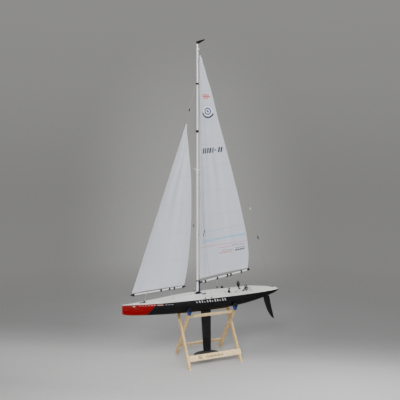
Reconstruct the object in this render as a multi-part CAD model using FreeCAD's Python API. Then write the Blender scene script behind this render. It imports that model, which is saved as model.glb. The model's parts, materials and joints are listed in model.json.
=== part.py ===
import FreeCAD, Part
import functools
import math
import os

# A one-metre radio-controlled racing yacht on its folding wooden stand.
# Millimetres. +X is the bow, +Y is port, +Z is up. The origin is on the floor, under
# the middle of the hull. The sails are set on port tack, so both booms are swung to
# starboard.

V = FreeCAD.Vector
UP = V(0, 0, 1)

# ---------------------------------------------------------------- driving dimensions
HULL_WALL = 2.0
DECK_SKIN = 2.0
# station x, half beam at the sheer, height of the sheer, height of the keel line
HULL_STATIONS = [
    (500, 2.5, 377.5, 325.0),
    (470, 9.0, 377.0, 316.5),
    (420, 20.0, 376.5, 310.0),
    (350, 38.0, 377.0, 304.0),
    (260, 58.0, 379.5, 298.5),
    (150, 79.0, 384.0, 296.0),
    (40, 91.0, 387.0, 295.5),
    (-60, 96.0, 388.5, 297.5),
    (-160, 95.0, 389.0, 303.0),
    (-260, 88.0, 389.0, 314.0),
    (-350, 75.0, 388.0, 329.0),
    (-430, 57.0, 386.5, 347.0),
    (-480, 40.0, 385.5, 361.0),
    (-500, 25.0, 385.0, 369.5),
]
SECTION_STEPS = 10
# coachroof and aft deck: station x, half width, height above the sheer
ROOF_STATIONS = [(186, 3, 3.5), (160, 22, 7), (110, 43, 10.5), (40, 56, 14), (-60, 61, 15.5), (-166, 61, 16)]
AFT_STATIONS = [(-298, 62, 23), (-350, 53, 19), (-430, 36, 12), (-488, 17, 5.5)]
ROOF_POWER = 0.55
AFT_POWER = 0.85
DECK_CROWN = 4.0
COCKPIT = (-298, -166)
COAMING_TOP = 399.0

HATCH_X = (-144, -4)
HATCH_HALF = 36.0
HATCH_LAP = 4.0
HATCH_GAP = 0.3
HATCH_SKIN = 1.6

MAST_X = 41.0
MAST_LOWER_R = 5.5
MAST_UPPER_R = 5.0
MAST_WALL = 0.8
STEP_TOP = 409.0
MAST_JOINT_Z = 1145.0
MAST_TOP_Z = 1874.0
HOIST_Z = 1635.0
BACKSTAY_TOP = V(-1.5, 0, 1888)
BACKSTAY_FOOT = V(-464, 0, 396)
WIRE_R = 0.5
SHEET_R = 0.6
SHEET_FOOT_Z = 420.0
FIT = 0.05

LUFF_X = 30.0
POST_R = 5.0
GOOSE_PIN_R = 1.5
BOOM_Z = 467.0
MAIN_BOOM = (6.0, -362.0)
MAIN_BOOM_RISE = 28.0
MAIN_BOOM_R = 4.2
MAIN_REST = 14.0
MAIN_CAMBER = 0.075
SAIL_CLOTH = 0.6
# height on the luff, leech x and leech z of the mainsail, with the boom amidships
MAIN_SAIL = [
    (486, -358, 507),
    (610, -362, 621),
    (810, -318, 817),
    (1050, -246, 1053),
    (1255, -176, 1256),
    (1405, -122, 1405),
    (1590, -61, 1590),
    (1700, -19, 1700),
    (1765, 6, 1765),
    (1801, 22, 1801),
]

JIB_PIVOT = V(371, 0, 386)
JIB_HOIST = V(50, 0, HOIST_Z)
JIB_BOOM_Z = 436.0
JIB_BOOM = (452.0, 98.0)
JIB_BOOM_R = 3.2
JIB_PIN_R = 0.9
JIB_REST = 12.0
JIB_CAMBER = 0.08
JIB_TACK = V(450, 0, 444)
JIB_HEAD = V(112, 0, 1402)
# share of the luff from tack to head, leech x and leech z, with the boom amidships
JIB_SAIL = [
    (0.0, 102, 444),
    (0.11, 84, 535),
    (0.25, 71, 665),
    (0.43, 63, 837),
    (0.68, 70, 1076),
    (0.86, 91, 1252),
    (0.96, 106, 1352),
    (1.0, 109, 1400),
]

SPREADER_Z = 1145.0
SPREADER_HALF = 65.0
UPPER_CHAIN = V(28, 87.5, 388)
LOWER_CHAIN = V(-12, 90.5, 388.5)
CHAIN_TALL = 9.0
# the sliding cord adjusters on the shrouds: which run of wire, port or starboard, height
ADJUSTERS = [(0, 1, 762), (0, -1, 798), (2, 1, 778), (2, -1, 742)]

FIN_X_ROOT = (-46.0, 20.0)
FIN_X_TIP = (-46.0, 3.0)
FIN_ROOT_Z = 296.5
FIN_TIP_Z = 40.0
FIN_THICK = 0.13
BULB_X = (-100.0, 68.0)
BULB_R = 20.0
BULB_Z = 26.0
TRUNK_TOP = 372.0
TRUNK_X = (-44.0, 14.0)
TRUNK_HALF = 7.0
KEEL_STUD_X = -24.0

RUDDER_FOOT = V(-421, 0, 343.0)
RUDDER_RAKE = 14.0
RUDDER_STOCK_R = 2.0
RUDDER_TUBE_R = 3.5
RUDDER_TUBE_LEN = 33.0
TILLER_R = 14.0
SERVO_X = -318.0
SERVO_TOP = 371.0
HORN_Z = SERVO_TOP + 3.0

TRAY_Z = 338.0
TRAY_X = (-346, -56)
WINCH_X = -196.0
DRUM_Z = 376.0
SWITCH_X = 12.0
SWITCH_Y = 33.0

HELM_X = -252.0
HELM_Y = 53.0
HELM_Z = 419.0
HELM_R = 16.5

PIVOT_Z = 196.0
FOOT_Y = 134.0
LEG_WIDE = 24.0
LEG_THICK = 12.0
LEG_X_OUTER = (-183.0, 144.0)
LEG_SIDE_GAP = 4.5
LEG_TOP = 405.0
BOARD_THICK = 7.0
PAD_LONG = 33.0
PAD_THICK = 4.5
PAD_SIDE = 1.9
PAD_CAP = 4.0
BOLT_R = 3.0
HULL_GAP = 0.4
OFFCUT = 20.0


# ---------------------------------------------------------------- small helpers
def box(x0, x1, y0, y1, z0, z1):
    return Part.makeBox(x1 - x0, y1 - y0, z1 - z0, V(x0, y0, z0))


def rod(start, end, radius):
    along = end.sub(start)
    return Part.makeCylinder(radius, along.Length, start, along)


def tube(start, end, outer, inner):
    return rod(start, end, outer).cut(rod(start, end, inner))


def between(start, end, share):
    return start.add(end.sub(start).multiply(share))


def at_height(start, end, z):
    return between(start, end, (z - start.z) / (end.z - start.z))


def port_and_starboard(shape):
    return [shape, shape.mirror(V(0, 0, 0), V(0, 1, 0))]


def turned(shape, base, axis, degrees):
    copy = shape.copy()
    copy.rotate(base, axis, degrees)
    return copy


def spline(points):
    curve = Part.BSplineCurve()
    curve.interpolate(points)
    return curve.toShape()


def station_value(stations, x, column):
    """Smooth curve through the stations: a cubic between each pair of rows."""
    rows = sorted(stations)
    xs = [row[0] for row in rows]
    values = [row[column] for row in rows]
    x = min(max(x, xs[0]), xs[-1])
    index = max(i for i in range(len(xs) - 1) if xs[i] <= x)
    slopes = []
    for i in (index, index + 1):
        low = max(i - 1, 0)
        high = min(i + 1, len(xs) - 1)
        slopes.append((values[high] - values[low]) / (xs[high] - xs[low]))
    span = xs[index + 1] - xs[index]
    t = (x - xs[index]) / span
    start_weight = (1 + 2 * t) * (1 - t) ** 2
    end_weight = t * t * (3 - 2 * t)
    bend = span * t * (1 - t) * ((1 - t) * slopes[0] - t * slopes[1])
    return values[index] * start_weight + values[index + 1] * end_weight + bend


def half_beam(x):
    return station_value(HULL_STATIONS, x, 1)


def sheer(x):
    return station_value(HULL_STATIONS, x, 2)


def keel_line(x):
    return station_value(HULL_STATIONS, x, 3)


# ---------------------------------------------------------------- hull and deck
def hull_curve(x, inset):
    """One cross-section of the hull, from the port sheer round the keel to starboard."""
    beam = half_beam(x) - inset
    top = sheer(x)
    depth = top - keel_line(x) - inset
    vee = min(max((x - 150) / 300, 0), 1)
    width_power = 0.94 + 0.36 * vee
    depth_power = 0.90 - 0.10 * vee
    side = []
    for step in range(SECTION_STEPS + 1):
        angle = math.pi / 2 * step / SECTION_STEPS
        y = beam * max(math.cos(angle), 0) ** width_power
        z = top - depth * math.sin(angle) ** depth_power
        side.append(V(x, y if step < SECTION_STEPS else 0, z))
    other = [V(p.x, -p.y, p.z) for p in reversed(side[:-1])]
    return side + other


def hull_solid(stations, inset, lift):
    wires = []
    for x in stations:
        points = hull_curve(x, inset)
        edges = [spline(points)]
        last = points[-1]
        first = points[0]
        if lift:
            edges.append(Part.makeLine(last, last.add(V(0, 0, lift))))
            edges.append(Part.makeLine(last.add(V(0, 0, lift)), first.add(V(0, 0, lift))))
            edges.append(Part.makeLine(first.add(V(0, 0, lift)), first))
        else:
            edges.append(Part.makeLine(last, first))
        wires.append(Part.Wire(edges))
    return Part.makeLoft(wires, True, False)


OUTER_X = [500, 485, 465, 440, 400, 350, 300, 240, 180, 110, 40, -30, -100, -170, -240,
           -300, -350, -400, -440, -470, -488, -500]


def seated(shape):
    """Cut deck fittings to the deck's own surface, and drop the offcuts below it."""
    solids = [solid for solid in shape.cut(deck()).Solids if solid.Volume > OFFCUT]
    return solids[0] if len(solids) == 1 else Part.makeCompound(solids)


@functools.cache
def hull_shell():
    inner_x = [x for x in OUTER_X if -490 < x < 480] + [-494]
    inner_x.sort(reverse=True)
    shell = hull_solid(OUTER_X, 0, 0).cut(hull_solid(inner_x, HULL_WALL, 6))
    fin_slot = box(TRUNK_X[0] + 2, TRUNK_X[1] - 2, -TRUNK_HALF + 2, TRUNK_HALF - 2, 280, 320)
    foot, top = rudder_tube_ends()
    reach = top.sub(foot)
    hole = rod(foot.sub(reach), top, RUDDER_TUBE_R + FIT)
    return shell.cut(fin_slot).cut(hole)


def arch_wire(x, half, base, height, power):
    """A flat base line closed by a rounded arch."""
    points = []
    steps = 12
    for step in range(steps + 1):
        angle = math.pi * step / steps
        side = 1 if math.cos(angle) > 0 else -1
        y = side * half * abs(math.cos(angle)) ** power
        z = base + height * math.sin(angle) ** power
        points.append(V(x, y, z if 0 < step < steps else base))
    return Part.Wire([spline(points), Part.makeLine(points[-1], points[0])])


def crowned_deck(skin):
    """The whole deck plate, from edge to edge; skin is how far inside it is measured."""
    wires = []
    for x in OUTER_X:
        if skin and not -492 < x < 470:
            continue
        half = half_beam(x) - 2.2 * skin
        base = sheer(x) - (1 if skin else 0)
        share = half_beam(x) / 96
        top = sheer(x) + 1.2 + DECK_CROWN * share - skin
        edge = sheer(x) + (1.2 if not skin else 1.2 - skin)
        points = [V(x, half, edge), V(x, 0, top), V(x, -half, edge)]
        arc = Part.Arc(points[0], points[1], points[2]).toShape()
        down = Part.makeLine(points[2], V(x, -half, base))
        across = Part.makeLine(V(x, -half, base), V(x, half, base))
        rise = Part.makeLine(V(x, half, base), points[0])
        wires.append(Part.Wire([arc, down, across, rise]))
    return Part.makeLoft(wires, True, False)


def raised_deck(stations, power, offset):
    """Coachroof or aft deck; offset grows it outwards, or inwards when negative."""
    wires = []
    steps = 9
    low = min(row[0] for row in stations) - min(offset, 0)
    high = max(row[0] for row in stations) + min(offset, 0) * 3
    for step in range(steps + 1):
        x = high + (low - high) * step / steps
        half = max(station_value(stations, x, 1) + offset, 1.5)
        height = max(station_value(stations, x, 2) + offset, 1.0)
        wires.append(arch_wire(x, half, sheer(x) - (1.5 if offset < 0 else -0.2), height, power))
    return Part.makeLoft(wires, True, False)


def coamings():
    aft, fore = COCKPIT
    outline = [V(fore + 3, 60, 390), V(aft - 3, 61, 390), V(aft - 3, 56, 390), V(fore + 3, 55, 390)]
    face = Part.Face(Part.makePolygon(outline + outline[:1]))
    wall = face.extrude(V(0, 0, COAMING_TOP - 390))
    return port_and_starboard(wall)


@functools.cache
def deck():
    plate = crowned_deck(0)
    plate = plate.fuse(raised_deck(ROOF_STATIONS, ROOF_POWER, 0))
    plate = plate.fuse(raised_deck(AFT_STATIONS, AFT_POWER, 0))
    plate = plate.fuse(coamings())
    plate = plate.cut(crowned_deck(DECK_SKIN))
    plate = plate.cut(raised_deck(ROOF_STATIONS, ROOF_POWER, -DECK_SKIN))
    plate = plate.cut(raised_deck(AFT_STATIONS, AFT_POWER, -DECK_SKIN))
    opening = box(HATCH_X[0] + HATCH_LAP, HATCH_X[1] - HATCH_LAP, -HATCH_HALF + HATCH_LAP,
                  HATCH_HALF - HATCH_LAP, 380, 420)
    plate = plate.cut(opening)
    plate = plate.cut(box(SWITCH_X - 8, SWITCH_X + 8, SWITCH_Y - 3, SWITCH_Y + 3, 380, 420))
    for x, y in eyelet_places():
        plate = plate.cut(rod(V(x, y, 370), V(x, y, 420), 2.1))
    return biggest(plate)


def biggest(shape):
    return max(shape.Solids, key=lambda solid: solid.Volume)


def roof_top(x, y):
    """Height of the coachroof's outer face."""
    half = station_value(ROOF_STATIONS, x, 1)
    height = station_value(ROOF_STATIONS, x, 2)
    share = 1 - (abs(y) / half) ** (2 / ROOF_POWER)
    return sheer(x) + 0.2 + height * max(share, 0) ** (ROOF_POWER / 2)


def plate_top(x, y):
    """Height of the plain deck's outer face."""
    share = half_beam(x) / 96
    return sheer(x) + 1.2 + DECK_CROWN * share * (1 - (y / half_beam(x)) ** 2)


def hatch_cover():
    area = box(HATCH_X[0], HATCH_X[1], -HATCH_HALF, HATCH_HALF, 380, 440)
    outside = raised_deck(ROOF_STATIONS, ROOF_POWER, HATCH_GAP + HATCH_SKIN)
    inside = raised_deck(ROOF_STATIONS, ROOF_POWER, HATCH_GAP)
    lid = outside.common(area).cut(inside)
    for x in (HATCH_X[0] + 12, HATCH_X[1] - 12):
        base = roof_top(x, 0) + HATCH_GAP
        lid = lid.fuse(Part.makeCone(3.6, 3.0, 5.5, V(x, 0, base + 0.4)))
    return biggest(lid)


# ---------------------------------------------------------------- keel
def foil_wire(leading, trailing, z):
    """A symmetric foil section between a leading and a trailing edge."""
    chord = leading - trailing
    upper = []
    for share in (0.0, 0.03, 0.12, 0.3, 0.55, 0.8):
        thick = 5 * FIN_THICK * chord
        half = thick * (0.297 * share ** 0.5 - 0.126 * share - 0.352 * share ** 2
                        + 0.284 * share ** 3 - 0.1015 * share ** 4)
        upper.append((leading - chord * share, half))
    points = [V(trailing, 0.5, z)]
    points += [V(x, y, z) for x, y in reversed(upper)]
    points += [V(x, -y, z) for x, y in upper[1:]]
    points.append(V(trailing, -0.5, z))
    return Part.Wire([spline(points), Part.makeLine(points[-1], points[0])])


def keel_fin():
    sections = []
    for share in (0.0, 0.5, 1.0):
        leading = FIN_X_ROOT[1] + (FIN_X_TIP[1] - FIN_X_ROOT[1]) * share
        trailing = FIN_X_ROOT[0]
        z = FIN_ROOT_Z + (FIN_TIP_Z - FIN_ROOT_Z) * share
        sections.append(foil_wire(leading, trailing, z))
    blade = Part.makeLoft(sections, True, True)
    head = box(TRUNK_X[0] + 2.2, TRUNK_X[1] - 2.2, -TRUNK_HALF + 2.2, TRUNK_HALF - 2.2,
               FIN_ROOT_Z - 1, TRUNK_TOP - 3)
    fin = blade.fuse(head)
    # the blade ends in the bulb's saddle, and its root meets the hull's bottom
    return biggest(fin.cut(bulb_body()).cut(hull_shell()))


def bulb_body():
    length = BULB_X[1] - BULB_X[0]
    outline = []
    for step in range(11):
        share = step / 10
        swell = math.sin(math.pi * share ** 0.72) ** 0.62 if 0 < step < 10 else 0
        outline.append(V(BULB_X[1] - length * share, 0, BULB_Z + BULB_R * swell))
    curve = spline(outline)
    axis = Part.makeLine(outline[-1], outline[0])
    return Part.Face(Part.Wire([curve, axis])).revolve(outline[0], V(1, 0, 0), 360)


def keel_trunk():
    outside = box(TRUNK_X[0], TRUNK_X[1], -TRUNK_HALF, TRUNK_HALF, 298, TRUNK_TOP)
    inside = box(TRUNK_X[0] + 2.1, TRUNK_X[1] - 2.1, -TRUNK_HALF + 2.1, TRUNK_HALF - 2.1,
                 290, TRUNK_TOP - 2.9)
    stud_hole = rod(V(KEEL_STUD_X, 0, 300), V(KEEL_STUD_X, 0, 400), 2.1)
    inside_hull = hull_solid(OUTER_X, HULL_WALL + 0.02, 6)
    return outside.cut(inside).cut(stud_hole).common(inside_hull)


def keel_bolt():
    stud = rod(V(KEEL_STUD_X, 0, TRUNK_TOP - 3), V(KEEL_STUD_X, 0, TRUNK_TOP + 12), 2.0)
    nut = rod(V(KEEL_STUD_X, 0, TRUNK_TOP), V(KEEL_STUD_X, 0, TRUNK_TOP + 6), 6.0)
    wing = box(KEEL_STUD_X - 10, KEEL_STUD_X + 10, -1.5, 1.5, TRUNK_TOP + 2, TRUNK_TOP + 9)
    return stud.fuse(nut).fuse(wing)


# ---------------------------------------------------------------- rudder and its drive
def rudder_axis():
    rake = math.radians(RUDDER_RAKE)
    return V(math.sin(rake), 0, math.cos(rake))


def rudder_tube_ends():
    axis = rudder_axis()
    foot = RUDDER_FOOT.add(V(axis).multiply(0.5))
    return foot, foot.add(V(axis).multiply(RUDDER_TUBE_LEN))


def rudder_tube():
    foot, top = rudder_tube_ends()
    return tube(foot, top, RUDDER_TUBE_R, RUDDER_STOCK_R + FIT)


def rudder_blade():
    # leading and trailing x at heights down the blade
    rows = [(340, -407, -449), (300, -417, -459), (262, -431, -468), (225, -450, -478),
            (198, -471, -485), (188, -482, -488)]
    blade = Part.makeLoft([foil_wire(lead, trail, z) for z, lead, trail in rows], True, False)
    # the root follows the hull's bottom with a small gap
    axis = rudder_axis()
    keep_below = RUDDER_FOOT.sub(V(axis).multiply(1.2))
    slab = Part.makeBox(120, 60, 60, V(-60, -30, 0))
    slab.rotate(V(0, 0, 0), V(0, 1, 0), RUDDER_RAKE)
    slab.translate(keep_below)
    stock = rod(keep_below.sub(V(axis).multiply(30)),
                RUDDER_FOOT.add(V(axis).multiply(RUDDER_TUBE_LEN + 7)), RUDDER_STOCK_R)
    return biggest(blade.cut(slab).fuse(stock))


def tiller_base():
    return RUDDER_FOOT.add(rudder_axis().multiply(RUDDER_TUBE_LEN + 1.2))


def tiller_arm():
    axis = rudder_axis()
    base = tiller_base()
    top = base.add(V(axis).multiply(4.5))
    hub = rod(base, top, 5)
    arm = box(-3, 3, 0, TILLER_R + 3, 0, 3)
    arm.rotate(V(0, 0, 0), V(0, 1, 0), RUDDER_RAKE)
    arm.translate(base)
    tip = base.add(V(0, TILLER_R, 0))
    pin = rod(tip, tip.add(V(axis).multiply(3)), 3)
    bore = rod(base.sub(axis), top.add(axis), RUDDER_STOCK_R)
    return hub.fuse(arm).fuse(pin).cut(bore)


def rudder_servo():
    case = box(SERVO_X - 15, SERVO_X + 15, -6.5, 6.5, TRAY_Z + 3, SERVO_TOP)
    ears = box(SERVO_X - 22, SERVO_X + 22, -6.5, 6.5, TRAY_Z + 20, TRAY_Z + 22.5)
    body = case.fuse(ears)
    spline_pin = rod(V(SERVO_X, 0, SERVO_TOP), V(SERVO_X, 0, SERVO_TOP + 5), 2.5)
    return body.fuse(spline_pin)


def servo_horn():
    hub = rod(V(SERVO_X, 0, HORN_Z - 1), V(SERVO_X, 0, HORN_Z + 3), 5)
    arm = box(SERVO_X - 3, SERVO_X + 3, 0, TILLER_R + 3, HORN_Z, HORN_Z + 2)
    bore = rod(V(SERVO_X, 0, HORN_Z - 2), V(SERVO_X, 0, HORN_Z + 5), 2.5 + FIT)
    return hub.fuse(arm).cut(bore)


def rudder_pushrod():
    start = V(SERVO_X, TILLER_R, HORN_Z + 4.2)
    lift = rudder_axis().multiply(6.2)
    end = tiller_base().add(V(0, TILLER_R, 0)).add(lift)
    return rod(start, end, 1.0)


# ---------------------------------------------------------------- radio gear
def radio_tray():
    plate = box(TRAY_X[0], TRAY_X[1], -34, 34, TRAY_Z, TRAY_Z + 3)
    bearers = [box(x, x + 6, -90, 90, TRAY_Z - 4, TRAY_Z + 3) for x in (-330, -240, -76)]
    tray = plate.fuse(bearers)
    tray = tray.cut(box(WINCH_X - 20, WINCH_X + 20, -10.2, 10.2, 320, 350))
    return biggest(tray.common(hull_solid(OUTER_X, HULL_WALL + 0.02, 6)))


def sail_winch():
    case = box(WINCH_X - 20, WINCH_X + 20, -10, 10, 328, DRUM_Z - 8)
    ears = box(WINCH_X - 27, WINCH_X + 27, -10, 10, TRAY_Z + 3, TRAY_Z + 6)
    shaft = rod(V(WINCH_X, 0, DRUM_Z - 8), V(WINCH_X, 0, DRUM_Z + 5), 3)
    return case.fuse(ears).fuse(shaft)


def winch_drum():
    lower = rod(V(WINCH_X, 0, DRUM_Z - 7), V(WINCH_X, 0, DRUM_Z - 5.5), 17)
    core = rod(V(WINCH_X, 0, DRUM_Z - 7), V(WINCH_X, 0, DRUM_Z + 3), 12)
    middle = rod(V(WINCH_X, 0, DRUM_Z - 2.5), V(WINCH_X, 0, DRUM_Z - 1), 17)
    upper = rod(V(WINCH_X, 0, DRUM_Z + 1.5), V(WINCH_X, 0, DRUM_Z + 3), 17)
    bore = rod(V(WINCH_X, 0, DRUM_Z - 9), V(WINCH_X, 0, DRUM_Z + 9), 3 + FIT)
    return lower.fuse([core, middle, upper]).cut(bore)


def receiver():
    case = box(-150, -104, 8, 32, TRAY_Z + 3, TRAY_Z + 15)
    return case.makeFillet(1.5, case.Edges)


def battery_pack():
    cells = []
    for row in (-17, -2):
        cells.append(rod(V(-152, row - 6, TRAY_Z + 10.6), V(-102, row - 6, TRAY_Z + 10.6), 7.2))
    holder = box(-154, -100, -32, 1, TRAY_Z + 3, TRAY_Z + 9)
    return holder.fuse(cells)


def power_switch():
    top = roof_top(SWITCH_X, SWITCH_Y)
    plate = box(SWITCH_X - 13, SWITCH_X + 13, SWITCH_Y - 6, SWITCH_Y + 6, top - 2, top + 2.6)
    case = box(SWITCH_X - 7.5, SWITCH_X + 7.5, SWITCH_Y - 2.8, SWITCH_Y + 2.8, top - 12, top + 2.6)
    slot = box(SWITCH_X - 6, SWITCH_X + 6, SWITCH_Y - 1.9, SWITCH_Y + 1.9, top - 3, top + 5)
    return seated(plate.fuse(case).cut(slot))


def switch_knob():
    top = roof_top(SWITCH_X, SWITCH_Y)
    return box(SWITCH_X - 5.8, SWITCH_X - 0.2, SWITCH_Y - 1.6, SWITCH_Y + 1.6, top - 2.6, top + 6)


# ---------------------------------------------------------------- deck fittings
def eyelet_places():
    return [(193, 0), (84, 0), (-120, 46), (-120, -46)]


def surface(x, y):
    on_roof = ROOF_STATIONS[-1][0] < x < ROOF_STATIONS[0][0]
    if on_roof and abs(y) < station_value(ROOF_STATIONS, x, 1) - 1:
        return max(roof_top(x, y), plate_top(x, y))
    return plate_top(x, y)


def deck_eyelets():
    rings = []
    for x, y in eyelet_places():
        top = surface(x, y)
        flange = rod(V(x, y, top - 1), V(x, y, top + 2.4), 4.2)
        neck = rod(V(x, y, top - 5), V(x, y, top + 2.4), 2.0)
        rings.append(flange.fuse(neck).cut(rod(V(x, y, top - 9), V(x, y, top + 9), 1.0)))
    return seated(Part.makeCompound(rings))


def deck_winches():
    drums = []
    for x, y, low, high, tall in ((-143, 50, 6.5, 4.0, 12), (-192, 48, 3.4, 2.6, 6)):
        base = surface(x, y) + 0.8
        foot = Part.makeCylinder(low + 1.2, 4.4, V(x, y, base - 3))
        drum = foot.fuse(Part.makeCone(low, high, tall, V(x, y, base)))
        drum = drum.fuse(Part.makeCylinder(high + 1.0, 1.4, V(x, y, base + tall - 0.2)))
        drums += port_and_starboard(drum)
    return seated(Part.makeCompound(drums))


def chainplates():
    straps = []
    for foot in (UPPER_CHAIN, LOWER_CHAIN):
        base = plate_top(foot.x, foot.y) - 0.6
        strap = box(foot.x - 2.5, foot.x + 2.5, foot.y - 1.0, foot.y + 1.0, base, base + CHAIN_TALL)
        pad = box(foot.x - 5, foot.x + 5, foot.y - 2.6, foot.y + 2.6, base, base + 1.6)
        straps += port_and_starboard(strap.fuse(pad))
    foot = BACKSTAY_FOOT
    straps.append(box(foot.x - 16, foot.x + 16, -4, 4, foot.z - 4, foot.z + 0.2))
    return seated(Part.makeCompound(straps))


def jib_deck_plate():
    base = plate_top(JIB_PIVOT.x, 0) - 1.0
    plate = box(JIB_PIVOT.x - 12, JIB_PIVOT.x + 26, -6, 6, base - 2, base + 3.6)
    axis = jib_axis()
    boss_top = JIB_PIVOT.add(V(axis).multiply(5))
    boss = rod(V(JIB_PIVOT).add(V(axis).multiply(-3.5)), boss_top, 4.5)
    bore = rod(JIB_PIVOT.add(V(axis).multiply(-1)), JIB_PIVOT.add(V(axis).multiply(9)), JIB_PIN_R + FIT)
    return biggest(seated(plate.fuse(boss).cut(bore)))


def helm_pedestals():
    arms = []
    for side in (1, -1):
        foot = V(HELM_X, side * 24, 393.0)
        hub = V(HELM_X, side * HELM_Y, HELM_Z)
        arms.append(rod(foot, hub, 3.2))
        arms.append(rod(foot, foot.add(V(0, 0, 3.4)), 6))
        arms.append(rod(hub.add(V(3.5, 0, 0)), hub.add(V(-2.6, 0, 0)), 4.0))
        arms.append(rod(hub, hub.add(V(-9, 0, 0)), 1.4))
    console = seated(arms[0].fuse(arms[1:]))
    above = [solid for solid in console.Solids if solid.BoundBox.ZMax > HELM_Z]
    return Part.makeCompound(above)


def helm_wheel(side):
    hub = V(HELM_X - 5.2, side * HELM_Y, HELM_Z)
    aft = V(-1, 0, 0)
    wheel = Part.makeTorus(HELM_R, 1.6, hub, aft)
    wheel = wheel.fuse(Part.makeCylinder(3.2, 2.6, hub.add(V(1.3, 0, 0)), aft))
    for spoke in range(5):
        angle = 2 * math.pi * spoke / 5 + math.pi / 2
        rim = V(0, math.cos(angle), math.sin(angle)).multiply(HELM_R)
        wheel = wheel.fuse(rod(hub, hub.add(rim), 1.1))
    bore = rod(hub.add(V(5, 0, 0)), hub.add(V(-5, 0, 0)), 1.4 + FIT)
    return wheel.cut(bore)


# ---------------------------------------------------------------- mast and standing rigging
def mast_step():
    base = 400.4
    plate = box(MAST_X - 27, MAST_X + 16, -14, 14, base - 1, base + 3.2)
    socket = rod(V(MAST_X, 0, base), V(MAST_X, 0, STEP_TOP + 4), MAST_LOWER_R + 3)
    cup = rod(V(MAST_X, 0, base + 5.2), V(MAST_X, 0, STEP_TOP + 9), MAST_LOWER_R + FIT)
    post_cup = rod(V(LUFF_X, 0, base), V(LUFF_X, 0, base + 8), POST_R + 2)
    post_hole = rod(V(LUFF_X, 0, base + 5.2), V(LUFF_X, 0, STEP_TOP + 9), POST_R + FIT)
    step = plate.fuse([socket, post_cup]).cut(cup).cut(post_hole)
    return biggest(seated(step))


def mast_tube(low, high, radius):
    return tube(V(MAST_X, 0, low), V(MAST_X, 0, high), radius, radius - MAST_WALL)


def mast_lower():
    return mast_tube(405.7, MAST_JOINT_Z - 0.1, MAST_LOWER_R)


def mast_upper():
    return mast_tube(MAST_JOINT_Z + 0.1, MAST_TOP_Z, MAST_UPPER_R)


def mast_joiner():
    z = MAST_JOINT_Z
    inner = MAST_UPPER_R - MAST_WALL - FIT
    return rod(V(MAST_X, 0, z - 60), V(MAST_X, 0, z + 60), inner)


def mast_band(z0, z1, radius, thick):
    low = V(MAST_X, 0, z0)
    high = V(MAST_X, 0, z1)
    return tube(low, high, radius + thick, radius + FIT)


def spreaders():
    band = mast_band(SPREADER_Z - 17, SPREADER_Z - 3, MAST_LOWER_R, 1.8)
    arms = []
    for side in (1, -1):
        start = V(MAST_X, side * (MAST_LOWER_R + 0.8), SPREADER_Z - 10)
        tip = V(MAST_X, side * SPREADER_HALF, SPREADER_Z)
        arms.append(rod(start, tip, 1.4))
    return band.fuse(arms)


def gooseneck_bracket():
    band = mast_band(473, 481, MAST_LOWER_R, 1.8)
    arm = box(LUFF_X - 3.4, MAST_X - MAST_LOWER_R - 0.6, -3, 3, 474, 480)
    pin_bore = rod(V(LUFF_X, 0, 470), V(LUFF_X, 0, 490), GOOSE_PIN_R + FIT)
    return band.fuse(arm).cut(pin_bore)


def gooseneck_post():
    post = rod(V(LUFF_X, 0, 405.7), V(LUFF_X, 0, 456), POST_R)
    pin = rod(V(LUFF_X, 0, 456), V(LUFF_X, 0, 482), GOOSE_PIN_R)
    return post.fuse(pin)


def mast_fittings():
    """Bands on the mast: jib hoist, upper black band, shroud tang and head ring."""
    hoist = mast_band(HOIST_Z - 6, HOIST_Z + 6, MAST_UPPER_R, 1.4)
    eye = box(MAST_X + MAST_UPPER_R + 0.8, JIB_HOIST.x - 1.0, -2, 2, HOIST_Z - 4, HOIST_Z + 6)
    crossband = mast_band(1353, 1369, MAST_UPPER_R, 1.6)
    nose = box(MAST_X + MAST_UPPER_R + 0.9, MAST_X + MAST_UPPER_R + 4.5, -2, 2, 1355, 1367)
    ring = mast_band(1682, 1688, MAST_UPPER_R, 1.2)
    tang = mast_band(1784, 1792, MAST_UPPER_R, 1.2)
    lower_tang = mast_band(1116, 1124, MAST_LOWER_R, 1.2)
    wire_band = mast_band(1826, 1836, MAST_UPPER_R, 1.2)
    wire_arm = box(LUFF_X - 2, MAST_X - MAST_UPPER_R - 0.8, -1.5, 1.5, 1830.2, 1834)
    solids = hoist.fuse(eye).Solids + crossband.fuse(nose).Solids + wire_band.fuse(wire_arm).Solids
    solids += ring.Solids + tang.Solids + lower_tang.Solids
    return Part.makeCompound(solids)


def masthead_crane():
    outline = [V(47, 0, 1866), V(47, 0, 1876), V(-3, 0, 1893), V(-6, 0, 1889), V(30, 0, 1866)]
    plate = Part.Face(Part.makePolygon(outline + outline[:1])).extrude(V(0, 3, 0))
    plate.translate(V(0, -1.5, 0))
    collar = mast_band(1862, 1874, MAST_UPPER_R, 1.5)
    top = rod(V(MAST_X, 0, MAST_TOP_Z + 0.1), V(MAST_X, 0, MAST_TOP_Z + 2.4), MAST_UPPER_R + 1.5)
    crane = plate.cut(rod(V(MAST_X, 0, 1850), V(MAST_X, 0, MAST_TOP_Z + 0.1), MAST_UPPER_R + FIT))
    return biggest(crane.fuse([collar, top]))


def shroud_runs():
    """Every straight run of wire, as pairs of end points, on the port side."""
    upper_foot = UPPER_CHAIN.add(V(0, 0, CHAIN_TALL + 6))
    lower_foot = LOWER_CHAIN.add(V(0, 0, CHAIN_TALL + 6))
    tip = V(MAST_X, SPREADER_HALF + 1.2, SPREADER_Z)
    masthead = V(MAST_X, MAST_UPPER_R + 2.0, 1788)
    lower_top = V(MAST_X, MAST_LOWER_R + 2.0, 1120)
    return [(upper_foot, tip), (tip, masthead), (lower_foot, lower_top)]


def standing_rigging():
    wires = []
    for start, end in shroud_runs():
        wires += port_and_starboard(rod(start, end, WIRE_R))
    foot, top = backstay_run()
    wires.append(rod(foot, top, WIRE_R))
    return Part.makeCompound(wires)


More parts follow.
